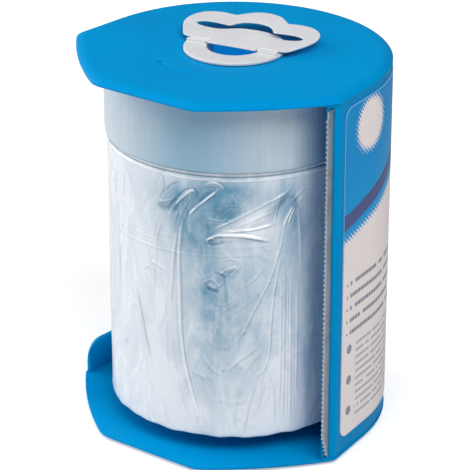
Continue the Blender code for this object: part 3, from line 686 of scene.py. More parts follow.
@dataclass
class FilmWrap:
    """The folded film on the roll, from its soft lower edge to the tape.

    The dip and the line under the tape each have a middle, a width, a depth or rise and a strength of painted
    tone: shade in the dip, highlight on the line.
    """

    radius: float = 0.0440
    inner: float = 0.0155
    foot: float = 0.0081
    dense_from: float = 0.055
    top: float = 0.1065
    low_rows: int = 72
    high_rows: int = 168
    end_rows: tuple = (4, 12)
    stretches: tuple = ((-150, 20), (-130, 72), (-95, 208), (-24, 22), (15, 52))
    edge_round: float = 0.0011
    hem_wave: float = 0.0002
    hem_lift: float = 0.0003
    hem_fade: float = 0.004
    dip: tuple = (0.1053, 0.00035, 0.0003, 0.8)
    line: tuple = (0.1041, 0.0004, 0.00028, 0.7)
    reach: float = 0.0008
    rope_rise: float = 0.00018
    rope_waves: tuple = ((5, 0.9, 5), (8, 0.8, 7), (13, 0.6, 8), (21, 0.45, 8), (34, 0.25, 6))
    swell_rise: float = 0.00016
    swell_waves: tuple = ((4, 3.0, 0.7), (7, -5.0, 2.9), (11, 8.0, 4.1), (16, 11.0, 0.4))
    pleat: float = 0.0002
    white: float = 0.97
    line_steps: int = 5
    seed: int = 11

    def angles(self) -> Array:
        """Column angles, close together on the crumpled front and wider behind the wall."""
        starts = [start for start, _ in self.stretches] + [self.stretches[0][0] + 360]
        runs = [np.linspace(low, high, count, endpoint=False)
                for (low, count), high in zip(self.stretches, starts[1:])]
        return np.radians(np.concatenate(runs))

    def heights(self) -> Array:
        """Row heights, close together over the crumpled upper half."""
        low = np.linspace(self.foot, self.dense_from, self.low_rows, endpoint=False)
        return np.concatenate((low, np.linspace(self.dense_from, self.top, self.high_rows)))

    def ropes(self, angle: Array, up: Array) -> Array:
        """Long upright folds: sharp crests of warped waves that climb round the roll.

        Each wave is one less the absolute sine of its number times the angle, plus a lean that grows
        with height and a slow drift, raised to a power, so that it is a thin crest with a wide dip.

        Args:
            angle: Angle of each point.
            up: Height of each point as a share from foot to top.

        Returns:
            Height of the folds from about -0.3 to 1.
        """
        chance = np.random.default_rng(self.seed)
        total = np.zeros(angle.shape)
        for number, strength, sharpness in self.rope_waves:
            lean, phase, drift = chance.uniform(-1.6, 1.6), chance.uniform(0, 6.3), chance.uniform(0, 6.3)
            wander = 0.55 * np.sin(3 * angle + drift + 2.3 * up) + 0.4 * np.sin(6.1 * up + phase)
            turns = number * angle + lean * up + phase + wander
            crest = (1 - np.abs(np.sin(0.5 * turns))) ** sharpness
            fade = 0.5 + 0.5 * np.sin(2 * angle + drift * 2 + 5.0 * up * chance.uniform(0.4, 1.4))
            total += strength * crest * fade
        return total - 0.2

    def swell(self, angle: Array, up: Array) -> Array:
        """Soft broad billows: a few slow waves in both directions, from -1 to 1."""
        waves = [np.sin(number * angle + climb * up + phase) for number, climb, phase in self.swell_waves]
        return sum(waves) / len(waves)

    def crumples(self, angle: Array, height: Array) -> tuple:
        """The separate creases: a bell curve of the distance to each line, less a wider dip beside it.

        Args:
            angle: Angle of each point.
            height: Height of each point.

        Returns:
            Rise of the creases in metres and their painted highlight and shade.
        """
        per_degree = math.radians(1) * self.radius * 1000
        flat, tall = np.degrees(angle) * per_degree, height * 1000
        rise, tone = np.zeros(angle.shape), np.zeros(angle.shape)
        for row in FILM_CREASES:
            crease = Crease(*row[:3], np.reshape(row[3:], (-1, 2)))
            line = smooth_line(crease.places, self.line_steps) * (per_degree, 1.0)
            reach = 3.2 * crease.width
            low, high = line.min(axis=0) - reach, line.max(axis=0) + reach
            near = (flat > low[0]) & (flat < high[0]) & (tall > low[1]) & (tall < high[1])
            more_rise, more_tone = self._crest(np.column_stack((flat[near], tall[near])), line, crease)
            rise[near] += more_rise
            tone[near] += more_tone
        return rise, tone

    @staticmethod
    def _crest(points: Array, line: Array, crease: Crease) -> tuple:
        """Rise and painted light of one crease at some points.

        Both fade at the line's ends. The painted highlight has a weaker painted shade beside it, on the right
        of the way that the line is drawn, as a fold lit from the left has.

        Args:
            points: Places on the flat film in mm.
            line: The crease's line in mm.
            crease: Its width, rise and lightness.

        Returns:
            Rise in metres and painted lightness at each point.
        """
        start, way = line[:-1], np.diff(line, axis=0)
        offset = points[:, None, :] - start[None]
        share = np.clip(np.einsum("pqi,qi->pq", offset, way) / np.sum(way * way, axis=1), 0, 1)
        gap = np.linalg.norm(offset - share[:, :, None] * way, axis=2)
        nearest, pick = np.argmin(gap, axis=1), np.arange(len(points))
        along = (nearest + share[pick, nearest]) / len(start)
        away, step = offset[pick, nearest], way[nearest]
        side = np.sign(away[:, 0] * step[:, 1] - away[:, 1] * step[:, 0])
        q = gap[pick, nearest] / (0.8 * crease.width)
        fade = np.clip(np.minimum(along, 1 - along) * 6, 0, 1) ** 0.7
        rise = 0.001 * crease.rise * (np.exp(-q ** 1.6) - 0.35 * bell(q, 1.7, 0.8))
        tone = crease.tone * (bell(1.2 * q, 0, 1) - 0.7 * bell(side * q, 1.4, 0.6))
        return rise * fade, tone * fade

    def milk_and_shade(self, angle: Array, height: Array) -> Array:
        """How white the film looks: nearly full, changed in a few soft patches, one of them painted shade
        beside the cutter.
        """
        across, tall = np.degrees(angle), height * 1000
        total = np.full(across.shape, self.white)
        for patch in FILM_PATCHES:
            share = bell(across, patch.angle, patch.wide) * bell(tall, patch.height, patch.tall)
            total += patch.change * share
        return np.clip(total, 0, 1)

    def crumpled(self, angle: Array, height: Array) -> Array:
        """How crumpled the film is: most down the middle of the front, hardly on the pale left."""
        return np.clip(0.10 + 0.9 * bell(np.degrees(angle), -55, 30) * bell(height * 1000, 55, 45), 0, 1)

    def hem(self, height: Array) -> tuple:
        """Rise and painted light of the taped edge under the tape: a dip with painted shade, then a raised
        line with a painted highlight below it.
        """
        dip, line = bell(height, *self.dip[:2]), bell(height, *self.line[:2])
        return self.line[2] * line - self.dip[2] * dip, self.line[3] * line - self.dip[3] * dip

    def build(self, material: Material) -> Piece:
        """Make the film: rows run up the outside, in across the top, down the bore and out below.

        Args:
            material: The film's finish.

        Returns:
            The finished piece.
        """
        angles, heights = self.angles(), self.heights()
        angle, height = np.meshgrid(angles, heights)
        share = (height - self.foot) / (self.top - self.foot)
        fold, tone = self.crumples(angle, height)
        loose = np.clip(share * 16, 0, 1) * np.clip((1 - share) * 30, 0, 1)
        ropes = self.ropes(angle, share)
        lift = loose * (self.rope_rise * ropes + self.swell_rise * self.swell(angle, share) + fold)
        lift = self.reach * np.tanh(lift / self.reach)
        hem_rise, hem_tone = self.hem(height)
        under = np.clip(self.edge_round - (height - self.foot), 0, self.edge_round)
        rounding = self.edge_round - np.sqrt(self.edge_round ** 2 - under ** 2)
        radius = self.radius + lift + hem_rise - rounding
        wave = self.hem_wave * (np.sin(7 * angles + 1) * np.cos(3 * angles) + 0.8 * np.sin(19 * angles + 0.4)
                                + 0.7 * np.sin(31 * angles))
        height = height + np.exp(-(height - self.foot) / self.hem_fade) * (wave + self.hem_lift)[None, :]
        points = np.vstack((cylinder_points(radius, angle, height), self._ends(angles, radius, height)))
        faces = grid_faces(len(heights) + sum(self.end_rows), len(angles), True, True)
        piece = add_piece("film_wrap", points, faces, material, 60.0)
        # Painted light and shade: the creases' and hem's tones, and the ropes lighter on their crests and
        # darker in their dips
        tone = np.clip(tone + hem_tone + 0.22 * (ropes - 0.25) * loose, -1, 1)
        crumpled = self.crumpled(angle, height)
        for name, values, rest in (("fold", tone, 0.0), ("milk_and_shade", self.milk_and_shade(angle, height), 0.8),
                                   ("crumple", crumpled, 0.0)):
            paint(piece, name, np.append(values, np.full(sum(self.end_rows) * len(angles), rest)))
        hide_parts("film_winding")
        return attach(piece, Body.ROLL.value)

    def _ends(self, angles: Array, radius: Array, height: Array) -> Array:
        """Rows across the top and the underside; the underside is pleated by the film's folded edges.

        Args:
            angles: Angle of each column.
            radius: Radius of the outside, row after row.
            height: Height of the outside, row after row.

        Returns:
            The rows' points, the top's first.
        """
        inward, outward = (np.linspace(*ends, rows)[:, None]
                           for ends, rows in zip(((0.98, 0), (0, 0.95)), self.end_rows))
        top_radius = self.inner + (radius[-1] - self.inner) * inward
        low_radius = self.inner + (radius[0] - self.inner) * outward
        pleats = self.pleat * np.sin(outward * 61.0 + 2.0 * np.sin(angles) + angles)
        low_height = height[0] + self.hem_lift * (1 - outward) + np.abs(pleats)
        return np.vstack((cylinder_points(top_radius, angles, height[-1]),
                          cylinder_points(low_radius, angles, low_height)))


@dataclass
class TapeBand:
    """The wound tape along the roll's top, with upright creases and its free end behind."""

    radius: float = 0.0449
    end_step: float = 0.0005
    end_angle: float = math.radians(118)
    inner: float = 0.0155
    foot: float = 0.1067
    top: float = 0.1308
    columns: int = 900
    rows: int = 26
    end_rows: int = 7
    crepe: float = 0.00005
    crepe_waves: tuple = (97, 131, 173, 211, 263)
    lip: float = 0.00012
    lip_share: float = 0.008
    wavers: tuple = (0.00008, 0.00005)
    edge_shade: float = 0.8
    end_shade: float = 0.15
    seed: int = 5

    def build(self, material: Material) -> Piece:
        """Make the band: rows climb the outside, go in across the top, down the bore and out below.

        The outside's radius is the turn's, which falls a little all the way round to the free end, plus
        the crepe: a sum of quick waves of the angle whose phases drift with height.

        Args:
            material: The tape's finish.

        Returns:
            The finished piece.
        """
        walk = np.linspace(0, 1, self.columns)
        angles = self.end_angle + 2 * math.pi * walk
        share = np.concatenate(((0.0, 0.012), np.linspace(0.03, 0.97, self.rows - 4), (0.988, 1.0)))
        angle, up = np.meshgrid(angles, share)
        chance = np.random.default_rng(self.seed)
        crepe = sum(np.sin(n * angle + chance.uniform(0, 6.3) + chance.uniform(0.5, 2.0)
                           * np.sin(chance.uniform(1, 4) * up + chance.uniform(0, 6.3)))
                    for n in self.crepe_waves) / len(self.crepe_waves)
        lip = self.lip * np.exp(-np.minimum(up, 1 - up) / self.lip_share)
        radius = self.radius - self.end_step * walk[None] + self.crepe * crepe - lip
        waver = self.wavers[0] * np.sin(5 * angles + 1) + self.wavers[1] * np.sin(14 * angles)
        height = self.foot + (self.top - self.foot) * up + waver[None] * np.exp(-up / 0.1)
        steps = np.linspace(0.96, 0, self.end_rows)[:, None]
        points = np.vstack((
            cylinder_points(radius, angle, height),
            cylinder_points(self.inner + (radius[-1] - self.inner) * steps, angles, self.top),
            cylinder_points(self.inner + (radius[0] - self.inner) * steps[::-1], angles, self.foot)))
        rows = self.rows + 2 * self.end_rows
        first = np.arange(rows) * self.columns
        last = first + self.columns - 1
        seam = np.column_stack((last, first, np.roll(first, -1), np.roll(last, -1)))
        faces = np.vstack((grid_faces(rows, self.columns, True, False), seam))
        piece = add_piece("tape_band", points, faces, material, 50.0)
        # Painted shade: darker along the lower edge, where the tape lies over the film, and on the top and
        # underside
        shade = self.edge_shade * np.exp(-share / self.lip_share)
        shade = np.append(shade, np.full(2 * self.end_rows, self.end_shade))
        paint(piece, "edge", np.repeat(shade, self.columns))
        # Painted reflection and shade: bluer and darker in front under the plate's corner, and beside the
        # cutter
        around = np.degrees(np.mod(angles + math.pi, 2 * math.pi) - math.pi)
        paint(piece, "painted_reflection_shade", np.tile(np.clip(bell(around, -72, 28) + bell(around, -12, 11), 0, 1), rows))
        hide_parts("tape_winding")
        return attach(piece, Body.ROLL.value)


# Broad changes of the film's whiteness: clear where it lies tight on the layers below, white where loose, and
# one of painted shade
FILM_PATCHES = (
    Patch(-70, 94, 16, 10, -0.95), Patch(-56, 98, 10, 7, -0.55), Patch(-82, 97, 7, 7, -0.30),
    Patch(-70, 83, 9, 8, -0.58), Patch(-50, 100, 7, 5, -0.35), Patch(-58, 90.5, 4, 3, -0.30),
    Patch(-64, 68, 14, 15, -0.42), Patch(-63, 46, 16, 16, -0.34), Patch(-48, 60, 20, 28, -0.34),
    Patch(-57, 69.5, 4, 2.5, -0.35), Patch(-66, 64, 4, 2.2, -0.30), Patch(-62, 61, 3, 2.5, -0.22),
    Patch(-89, 84, 7, 16, -0.24), Patch(-32, 96, 7, 8, -0.70), Patch(-27, 84, 6, 12, -0.50),
    Patch(-38, 72, 8, 18, -0.14), Patch(-28, 66, 5, 12, -0.20), Patch(-58, 24, 14, 9, -0.16),
    # The last patch, a tall strip at -17 degrees, is painted shade beside the wall and cutter
    Patch(-44, 89, 8, 4, 0.28), Patch(-52, 85.4, 9, 2.2, 0.45), Patch(-17, 60, 4.5, 90, -0.50),
)

# Folds of the film, one a row: width and rise in mm, painted lightness (highlight above 0, shade below), then
# the angle and height of each place. Those drawn upward have their painted shade at the right, and those
# drawn to the right have it below.
FILM_CREASES = (
    # The zigzag under the tape, its dark pocket and the arch beside it
    (0.55, 0.5, 0.75, -83.5, 89.5, -80, 94, -76, 97.5, -72.5, 99.8, -71, 99.6),
    (0.65, -0.35, -0.5, -75.2, 90.3, -73.5, 93, -71.3, 97, -71, 99.4),
    (0.45, 0.35, 0.4, -89.6, 93.4, -84, 94.6, -79.8, 96.6),
    (2.1, -0.25, -0.45, -90, 92.3, -86, 91.9, -82, 92.8, -79.5, 94.6),
    (0.55, 0.6, 0.95, -74, 91, -70, 94.5, -65, 98, -60.5, 101),
    (0.45, 0.35, 0.6, -67, 101.4, -65.5, 102.7, -63, 103.3, -60, 102.3, -58.3, 100.6),
    (0.9, -0.35, -0.45, -71.5, 93.5, -67.5, 97.5, -63, 100.6),
    (0.45, -0.3, -0.5, -84.5, 91.5, -80, 96, -76, 99.3, -73, 100.6),
    (0.5, -0.3, -0.4, -77, 89, -75, 93.5, -72.3, 97.5),
    (0.5, -0.25, -0.4, -86, 97, -82, 100.5, -77, 102.6),
    (0.45, -0.35, -0.6, -72.6, 100.8, -70.3, 99.4, -70.8, 96, -73.5, 92),
    (0.4, -0.25, -0.45, -68.8, 102.4, -65, 104, -60, 103.4, -57, 101),
    (0.5, -0.25, -0.5, -66.2, 100.6, -64, 101.6, -61.5, 101.2),
    (0.45, 0.2, 0.35, -66, 90.6, -60, 89.9, -54, 90.2),
    (0.4, 0.3, 0.45, -79.5, 86, -77.2, 91, -74.8, 95.5),
    (0.4, 0.25, 0.35, -82, 83, -80.5, 88.5, -79, 92),
    (0.35, 0.2, 0.35, -73.2, 84, -72.6, 88, -71.5, 91),
    (0.5, 0.25, 0.35, -58, 101.5, -54.5, 98.5, -52.5, 95.6),
    (2.6, -0.25, -0.48, -65.5, 94.2, -60, 92.2, -55, 92.2, -50.5, 94),
    (0.4, 0.25, 0.45, -62, 94.7, -56, 95.4, -50.5, 95),
    (1.9, -0.2, -0.35, -71, 89.8, -67, 88, -63, 85.9),
    # The white fan that spreads from one curled point
    (2.2, 0.15, 0.3, -58, 86.2, -50, 88.6, -43, 91, -36, 93.6),
    (1.8, 0.15, 0.3, -60, 83.8, -51, 84.8, -40, 84.2),
    (1.9, 0.1, 0.35, -48, 90, -39, 94.5, -31, 98.6),
    (0.5, 0.5, 0.6, -64.5, 85, -62, 87, -57, 89.1, -47.2, 92.9, -40.7, 95.4, -32.6, 98.3, -28.5, 100),
    (0.5, 0.5, 0.55, -60, 85.6, -52, 86.3, -44, 86.8, -35.5, 88.3),
    (0.65, 0.7, 1.0, -65.8, 82.7, -62, 84.3, -57, 84.7, -50, 84.4, -44, 83.4, -37.5, 81.9),
    (0.5, 0.5, 0.8, -66.3, 82.1, -64.2, 83.5, -62.4, 82.6),
    (0.7, -0.3, -0.5, -66.5, 81.3, -62, 81.2, -57.5, 82.2),
    (0.5, 0.35, 0.4, -53, 87.8, -44, 90.6, -36.5, 92.6),
    # Two painted glints by a dark pocket near the cutter
    (0.5, 0.6, 1.6, -32.4, 86.8, -30.6, 89.8, -28.1, 93.4),
    (0.45, 0.45, 1.4, -30.1, 87.4, -28.8, 90.3, -27, 92.8),
    (0.4, 0.25, 0.5, -36.8, 86, -35.8, 91, -34.6, 95),
    (1.5, -0.35, -0.5, -35.8, 90, -34.4, 94, -31.6, 96.6, -28.6, 97.6),
    (1.4, -0.25, -0.4, -25.6, 91.5, -26.2, 95, -28.4, 97.4),
    (0.4, 0.3, 0.5, -28.5, 95, -24, 98.5, -20, 101),
    (0.35, 0.25, 0.4, -26, 93.5, -22.5, 97.5, -19.5, 99.5),
    # Level lines left by the folding
    (0.3, 0.1, 0.25, -118, 81.6, -95, 82, -75, 82.3, -67, 82.1),
    (0.35, 0.12, 0.3, -119, 79, -90, 79.8, -60, 80.2, -27, 80.6),
    (0.4, 0.16, 0.4, -119, 76.2, -90, 76.6, -60, 76.9, -27, 77.8),
    # Upright folds left of the middle
    (0.5, 0.35, 0.4, -91.2, 69, -90.6, 74, -90.4, 80, -88, 86),
    (0.5, 0.35, 0.4, -94, 71, -90, 70.6, -86.5, 69),
    (0.4, 0.2, 0.3, -92.4, 60, -92, 70, -91.6, 82, -91, 92),
    (0.6, 0.4, 0.6, -83.6, 56, -82.6, 66, -81.6, 75, -80, 84),
    (0.65, 0.6, 0.75, -68.5, 10, -71.5, 20, -75.5, 32, -77.5, 41, -78.5, 51, -78.7, 62, -79, 75, -77.5, 86,
     -75.2, 93),
    (0.5, 0.3, 0.4, -66.8, 9, -70, 20, -74, 33, -76, 42, -77, 52),
    (0.5, 0.2, 0.25, -85.5, 30, -86, 45, -86.5, 60),
    # Upright and slanting folds right of the middle
    (0.55, 0.5, 0.6, -53.5, 44.7, -49, 51, -45.5, 57, -39, 67, -35.5, 75, -32.8, 82),
    (0.55, 0.45, 0.55, -46, 31, -41, 34.5, -38.8, 40, -38, 50, -37, 60, -34.5, 72),
    (0.4, -0.25, -0.3, -31, 12, -30.7, 30, -30.6, 50, -30.5, 72),
    (0.4, 0.25, 0.3, -33.7, 18, -33.2, 40, -33, 66),
    (0.4, 0.25, 0.3, -28.2, 12, -28.5, 40, -28.5, 70),
    (0.5, 0.3, 0.4, -36, 14, -37, 27, -41, 35),
    (0.8, 0.35, 0.4, -51, 9, -49, 18, -46, 28),
    (0.5, 0.2, 0.2, -25.5, 24, -25.2, 45, -25.6, 66),
    # Small crumples down the middle
    (0.6, 0.4, 0.55, -68, 66.6, -64, 68.6, -60.5, 66.2),
    (0.9, -0.25, -0.5, -63.5, 71, -60, 70.3, -57.5, 69),
    (0.55, 0.4, 0.55, -61, 70.2, -57, 72.4, -52, 73.2),
    (0.8, -0.25, -0.45, -57.5, 69.3, -55.5, 71, -52, 71.5),
    (0.7, -0.25, -0.4, -67.5, 65, -63, 64.4, -60.5, 62.8),
    (0.6, 0.25, 0.35, -65, 61, -60, 59.2, -55, 60.6),
    (0.5, 0.25, 0.3, -62, 55, -57, 58, -52, 60),
    (0.7, 0.35, 0.5, -69, 41, -66, 37.2, -62, 34, -58.6, 33),
    (0.8, 0.3, 0.35, -73, 33.6, -68, 32, -62, 31.4),
    (0.7, 0.35, 0.45, -58, 34, -53, 37.8, -47, 41.5, -43.5, 44),
    (0.7, 0.25, 0.3, -66, 46, -61, 43.4, -56, 43.8),
    (0.4, -0.2, -0.7, -59.6, 33.4, -59, 34, -58.4, 34.4),
    (0.8, 0.2, 0.25, -63, 24, -55, 22.5, -47, 24),
    (0.45, 0.3, 0.45, -70.5, 72, -68, 69.8, -66.5, 67.4),
    (0.45, 0.35, 0.6, -66, 67.2, -63.6, 65.6, -61, 66, -58.5, 68),
    (0.55, -0.3, -0.55, -66.8, 66, -64, 64, -60.6, 64.2),
    (0.45, 0.35, 0.55, -60.5, 71.6, -57, 70, -54, 71.2, -51, 73.8),
    (0.4, 0.25, 0.4, -59, 75, -55, 76, -50.5, 74.4),
    (0.45, 0.25, 0.35, -50, 66, -45, 68.6, -41, 72.6),
    (0.45, 0.25, 0.35, -52, 58, -47, 60.4, -43, 64.6),
    (0.5, 0.2, 0.3, -70, 57, -65, 54.6, -60, 54.8),
    (0.5, 0.2, 0.25, -72, 50, -67, 50.8, -61, 49),
    (0.5, 0.2, 0.3, -58, 51, -52, 48.6, -47, 50.6),
    (0.5, -0.2, -0.3, -60, 39, -55, 36, -50, 35.4),
    (0.45, 0.25, 0.35, -72, 38, -69, 33, -65, 29),
    (0.45, 0.25, 0.35, -50, 33, -46, 38, -42, 41),
    (0.4, 0.25, 0.3, -43, 20, -42, 30, -40, 38),
    (0.5, 0.2, 0.3, -55, 12, -54, 20, -52, 27),
    (0.5, 0.25, 0.3, -75, 12, -79, 24, -82, 36, -83.5, 48),
    (0.4, 0.25, 0.35, -88.8, 66, -86, 62, -85, 56),
    (0.4, 0.3, 0.4, -34, 78, -32.4, 84, -31.6, 88),
    (0.35, 0.25, 0.35, -40, 56, -36, 66, -33, 76),
    (0.45, 0.2, 0.3, -24, 70, -24.4, 82, -25.4, 92),
    # Faint lines on the pale left
    (0.35, -0.25, -0.5, -120.5, 87, -119.8, 93, -119.4, 98.5),
    (0.4, 0.25, 0.35, -117.6, 52, -117.4, 70, -118, 87),
    (0.4, -0.2, -0.35, -112.2, 88, -111.2, 95, -110.6, 100.5),
    (0.4, -0.15, -0.25, -106.8, 86, -106, 94, -105.4, 101),
    (0.4, -0.25, -0.4, -124.4, 60, -125.5, 66, -129, 72.5),
    (0.4, -0.25, -0.4, -93, 31, -97, 42, -100, 52, -104.2, 61),
    (0.35, 0.2, 0.35, -96, 37, -99, 46, -103, 57),
    (0.35, -0.2, -0.3, -101, 63, -102.6, 68, -103.6, 74),
    (0.5, 0.25, -0.35, -113.4, 33.6, -112, 36.8, -110, 35),
    (0.4, 0.2, -0.35, -98, 66.6, -96, 68, -94, 68.8),
    (0.5, 0.2, 0.2, -126, 40, -126.6, 52, -127.4, 58),
    (0.5, -0.2, -0.35, -88.4, 94.5, -85.6, 99, -86.4, 104),
    (0.6, 0.2, 0.3, -52, 96, -48, 99.5, -47, 103),
)


# The case, its label and its cutter


@dataclass
class WallPath:
    """The wall's line from the right side corner: a straight run that meets a round back."""

    half_width: float = 0.0554
    corner_forward: float = 0.0172
    back_radius: float = 0.0538
    centre_offset: float = 0.0007

    def straight(self) -> tuple:
        """Where the straight run starts, the way along it, its length and the angle at its end."""
        start = np.array((self.half_width, -self.corner_forward))
        centre = np.array((0.0, -self.centre_offset))
        away = start - centre
        reach = float(np.linalg.norm(away))
        touch = math.atan2(away[1], away[0]) + math.acos(min(1.0, self.back_radius / reach))
        end = centre + self.back_radius * np.array((math.cos(touch), math.sin(touch)))
        length = float(np.linalg.norm(end - start))
        return start, (end - start) / length, length, touch

    def at(self, walked: Array, depth: Array) -> Array:
        """Plan places at a length walked along the line and a depth inside it.

        Args:
            walked: Lengths from the side corner.
            depth: How far inside the line each place lies.

        Returns:
            X and Y, with the shape of the inputs and a last axis of two.
        """
        start, way, length, touch = self.straight()
        outward = np.array((way[1], -way[0]))
        angle = touch + (walked - length) / self.back_radius
        on_arc = np.stack((np.cos(angle), np.sin(angle)), axis=-1)
        arc = on_arc * (self.back_radius - depth)[..., None] - (0.0, self.centre_offset)
        run = start + walked[..., None] * way - depth[..., None] * outward
        return np.where((walked > length)[..., None], arc, run)

    def walked_at_left(self, y: float) -> float:
        """The walked length at which the line passes a Y on the left."""
        _, _, length, touch = self.straight()
        angle = math.pi - math.asin((y + self.centre_offset) / self.back_radius)
        return length + (angle - touch) * self.back_radius


@dataclass
class LabelSheet:
    """The printed label round the wall: a thin sheet with rounded corners."""

    path: WallPath
    start: float = 0.0030
    window_y: float = 0.0067
    rear_margin: float = 0.012
    low: float = 0.0080
    high: float = 0.1290
    corner: float = 0.004
    border: float = 0.0004
    border_tone: float = 0.8
    face_depth: float = -0.0001
    thickness: float = 0.00042
    columns: int = 240
    corner_steps: int = 9
    rows: int = 60

    def build(self, material: Material) -> Piece:
        """Make the sheet: an outer and an inner skin on one grid, whose ends are drawn in at the corners.

        Args:
            material: The label's finish.

        Returns:
            The finished piece.
        """
        end = self.path.walked_at_left(self.window_y) - self.rear_margin
        ease = self.corner * (1 - np.cos(np.linspace(0, math.pi / 2, self.corner_steps)))
        ease = np.sort(np.append(ease, self.border))
        straight = self.columns - 2 * self.corner_steps
        middle = np.linspace(self.start + self.corner, end - self.corner, straight)
        spans = np.concatenate((self.start + ease, middle[1:-1], (end - ease)[::-1]))
        inside = np.clip(self.corner - np.minimum(spans - spans[0], spans[-1] - spans), 0, self.corner)
        draw = self.corner - np.sqrt(self.corner ** 2 - inside ** 2)
        rim = self.border / (self.high - self.low)
        rise = np.concatenate(((0.0,), np.linspace(rim, 1 - rim, self.rows - 2), (1.0,)))
        walked, up = np.meshgrid(spans, np.concatenate((rise, rise[::-1])))
        depth = np.repeat((self.face_depth, self.face_depth + self.thickness), self.rows * len(spans))
        plan = self.path.at(walked, depth.reshape(walked.shape))
        height = self.low + draw + (self.high - self.low - 2 * draw) * up
        first = np.arange(self.rows - 1)
        mirror = 2 * self.rows - 1 - first
        left = np.column_stack((first, first + 1, mirror - 1, mirror)) * len(spans)
        right = left + len(spans) - 1
        faces = np.vstack((grid_faces(2 * self.rows, len(spans), True, False), left[:, ::-1], right))
        points = columns_of(plan[..., 0], plan[..., 1], height)
        piece = add_piece("printed_label", points, faces, material, 50.0)
        lay_uv(piece, columns_of(walked, height) * 1000)
        lip = (up < rim / 2) | (up > 1 - rim / 2) | (walked < spans[1]) | (walked > spans[-2])
        paint(piece, "border", self.border_tone * lip)
        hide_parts("wall_label")
        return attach(piece, Body.CASE.value)


@dataclass
class CutterStrip:
    """The toothed steel strip, pressed to the outer side of its slot and ground thin towards its teeth."""

    path: WallPath
    thickness: float = 0.0005
    seat: float = 0.00028
    tip_thickness: float = 0.00016
    reach: float = 0.0045
    tuck: float = 0.0045
    foot_cut: float = 0.0030
    foot_slope: float = 0.009
    plain_top: float = 0.0022
    pitch: float = 0.00175
    tooth_depth: float = 0.0014
    grind: float = 0.0007
    ground: tuple = (0.0, 0.0, 0.9, 0.9, 0.1, 0.0)

    def edge(self, low: float, high: float) -> tuple:
        """Heights up the strip and its edge's reach: teeth on a line that is cut back at the foot.

        Args:
            low: Height of its foot.
            high: Height of its top.

        Returns:
            The heights, how far the edge stands out, and how far it does between two teeth.
        """
        count = int((high - low - self.plain_top) // self.pitch)
        steps = np.arange(2 * count + 1)
        heights = high - self.plain_top - count * self.pitch + steps * self.pitch / 2
        cut = self.foot_cut * np.clip(1 - (heights - low) / self.foot_slope, 0, 1)
        valleys = np.pad(self.reach - cut - self.tooth_depth, 1, mode="edge")
        teeth = np.pad(np.where(steps % 2 == 0, 0.0, self.tooth_depth), 1)
        return np.concatenate(((low,), heights, (high,))), valleys + teeth, valleys

    def build(self, material: Material) -> Piece:
        """Make the strip: each height has one closed section of six corners, out and back in.

        Args:
            material: The steel's finish.

        Returns:
            The finished piece.
        """
        low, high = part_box("cutter_blade")
        heights, stands, valleys = self.edge(low.z, high.z)
        way = self.path.straight()[1]
        outward = np.array((way[1], -way[0]))
        centre = np.array(((low.x + high.x) / 2, (low.y + high.y) / 2))
        origin = centre + way * (self.reach - self.tuck) / 2
        base, tail = valleys - self.grind, np.full_like(stands, -self.tuck)
        stand = np.stack((tail, base, stands, stands, base, tail), axis=1)
        face, rear = self.thickness / 2 + self.seat, -self.thickness / 2
        side = np.broadcast_to((face, face, face, face - self.tip_thickness, rear, rear), stand.shape)
        plan = origin - stand[..., None] * way + side[..., None] * outward
        rows, corners = stand.shape
        walls = grid_faces(rows, corners, False, True)[:, ::-1].tolist()
        foot, top = list(range(corners)), list(range((rows - 1) * corners, rows * corners))[::-1]
        points = columns_of(plan[..., 0], plan[..., 1], heights[:, None])
        piece = add_piece("cutter_strip", points, [*walls, foot, top], material, 12.0)
        paint(piece, "ground", np.tile(self.ground, rows))
        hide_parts("cutter_blade")
        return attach(piece, Body.CASE.value)


# The hanger


@dataclass
class HangerPart:
    """What the tab and its webs share: the hinge line's place, the hanger's turn and the tab's tilt."""

    hinge_y: float = -0.0011
    height: float = 0.13595
    turn: float = math.radians(8.7)
    tilt: float = math.radians(5.5)

    def turned(self, x: Array, y: Array, z: Array) -> Array:
        """Points turned with the hanger round the Z axis, one line each."""
        return columns_of(x * math.cos(self.turn) - y * math.sin(self.turn),
                          x * math.sin(self.turn) + y * math.cos(self.turn), z)


@dataclass
class HingeWebs(HangerPart):
    """The two thin webs that join the hanger's ring to its tab."""

    inner: float = 0.0093
    outer: float = 0.0165
    half_span: float = 0.0016
    half_bend: float = 0.0010
    thickness: float = 0.0004
    lift: float = 0.0004
    sag: float = 0.00025
    steps: tuple = (9, 13)

    def build(self, material: Material) -> list:
        """Make both webs: a strip whose section is an arch between the two edges it joins.

        Args:
            material: The hanger's finish.

        Returns:
            The two pieces, which bend between the ring and the tab.
        """
        slices, half = self.steps
        along = np.linspace(-self.half_span, self.half_span, half)
        sag = self.sag * np.cos(along / self.half_span * math.pi / 2)
        rise = np.where(along > 0, along * math.tan(self.tilt), 0.0) + self.height + self.lift - sag
        loop_y = np.concatenate((along, along[::-1])) + self.hinge_y
        loop_z = np.concatenate((rise, (rise - self.thickness)[::-1]))
        around = 2 * half
        caps = [list(range(around))[::-1], list(range((slices - 1) * around, slices * around))]
        faces = grid_faces(slices, around, False, True).tolist() + caps
        pieces = []
        for name, side in (("hinge_web_left", -1), ("hinge_web_right", 1)):
            across = np.linspace(self.inner, self.outer, slices)[:, None] * side
            points = self.turned(across, loop_y, loop_z)
            piece = add_piece(name, points, [face[::-side] for face in faces], material, 50.0)
            paint(piece, "edge", np.ones(len(points)))
            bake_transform(piece)
            pieces.append(piece)
        return pieces


# Right half of the tab from its tongue to its peak, across and along in mm
TAB_FRONT = ((9.1, -2.1), (9.1, 0.35))
TAB_LOBE = ((18.0, 0.35), (20.0, 1.32), (22.13, 4.84), (24.38, 9.46), (25.0, 13.2), (24.13, 17.16),
            (22.0, 19.8), (19.0, 21.45), (15.5, 22.0), (12.25, 21.78), (10.13, 21.45))
TAB_CROWN = ((9.13, 22.28), (7.63, 23.76), (5.38, 25.52), (2.88, 26.6), (0.0, 27.0))
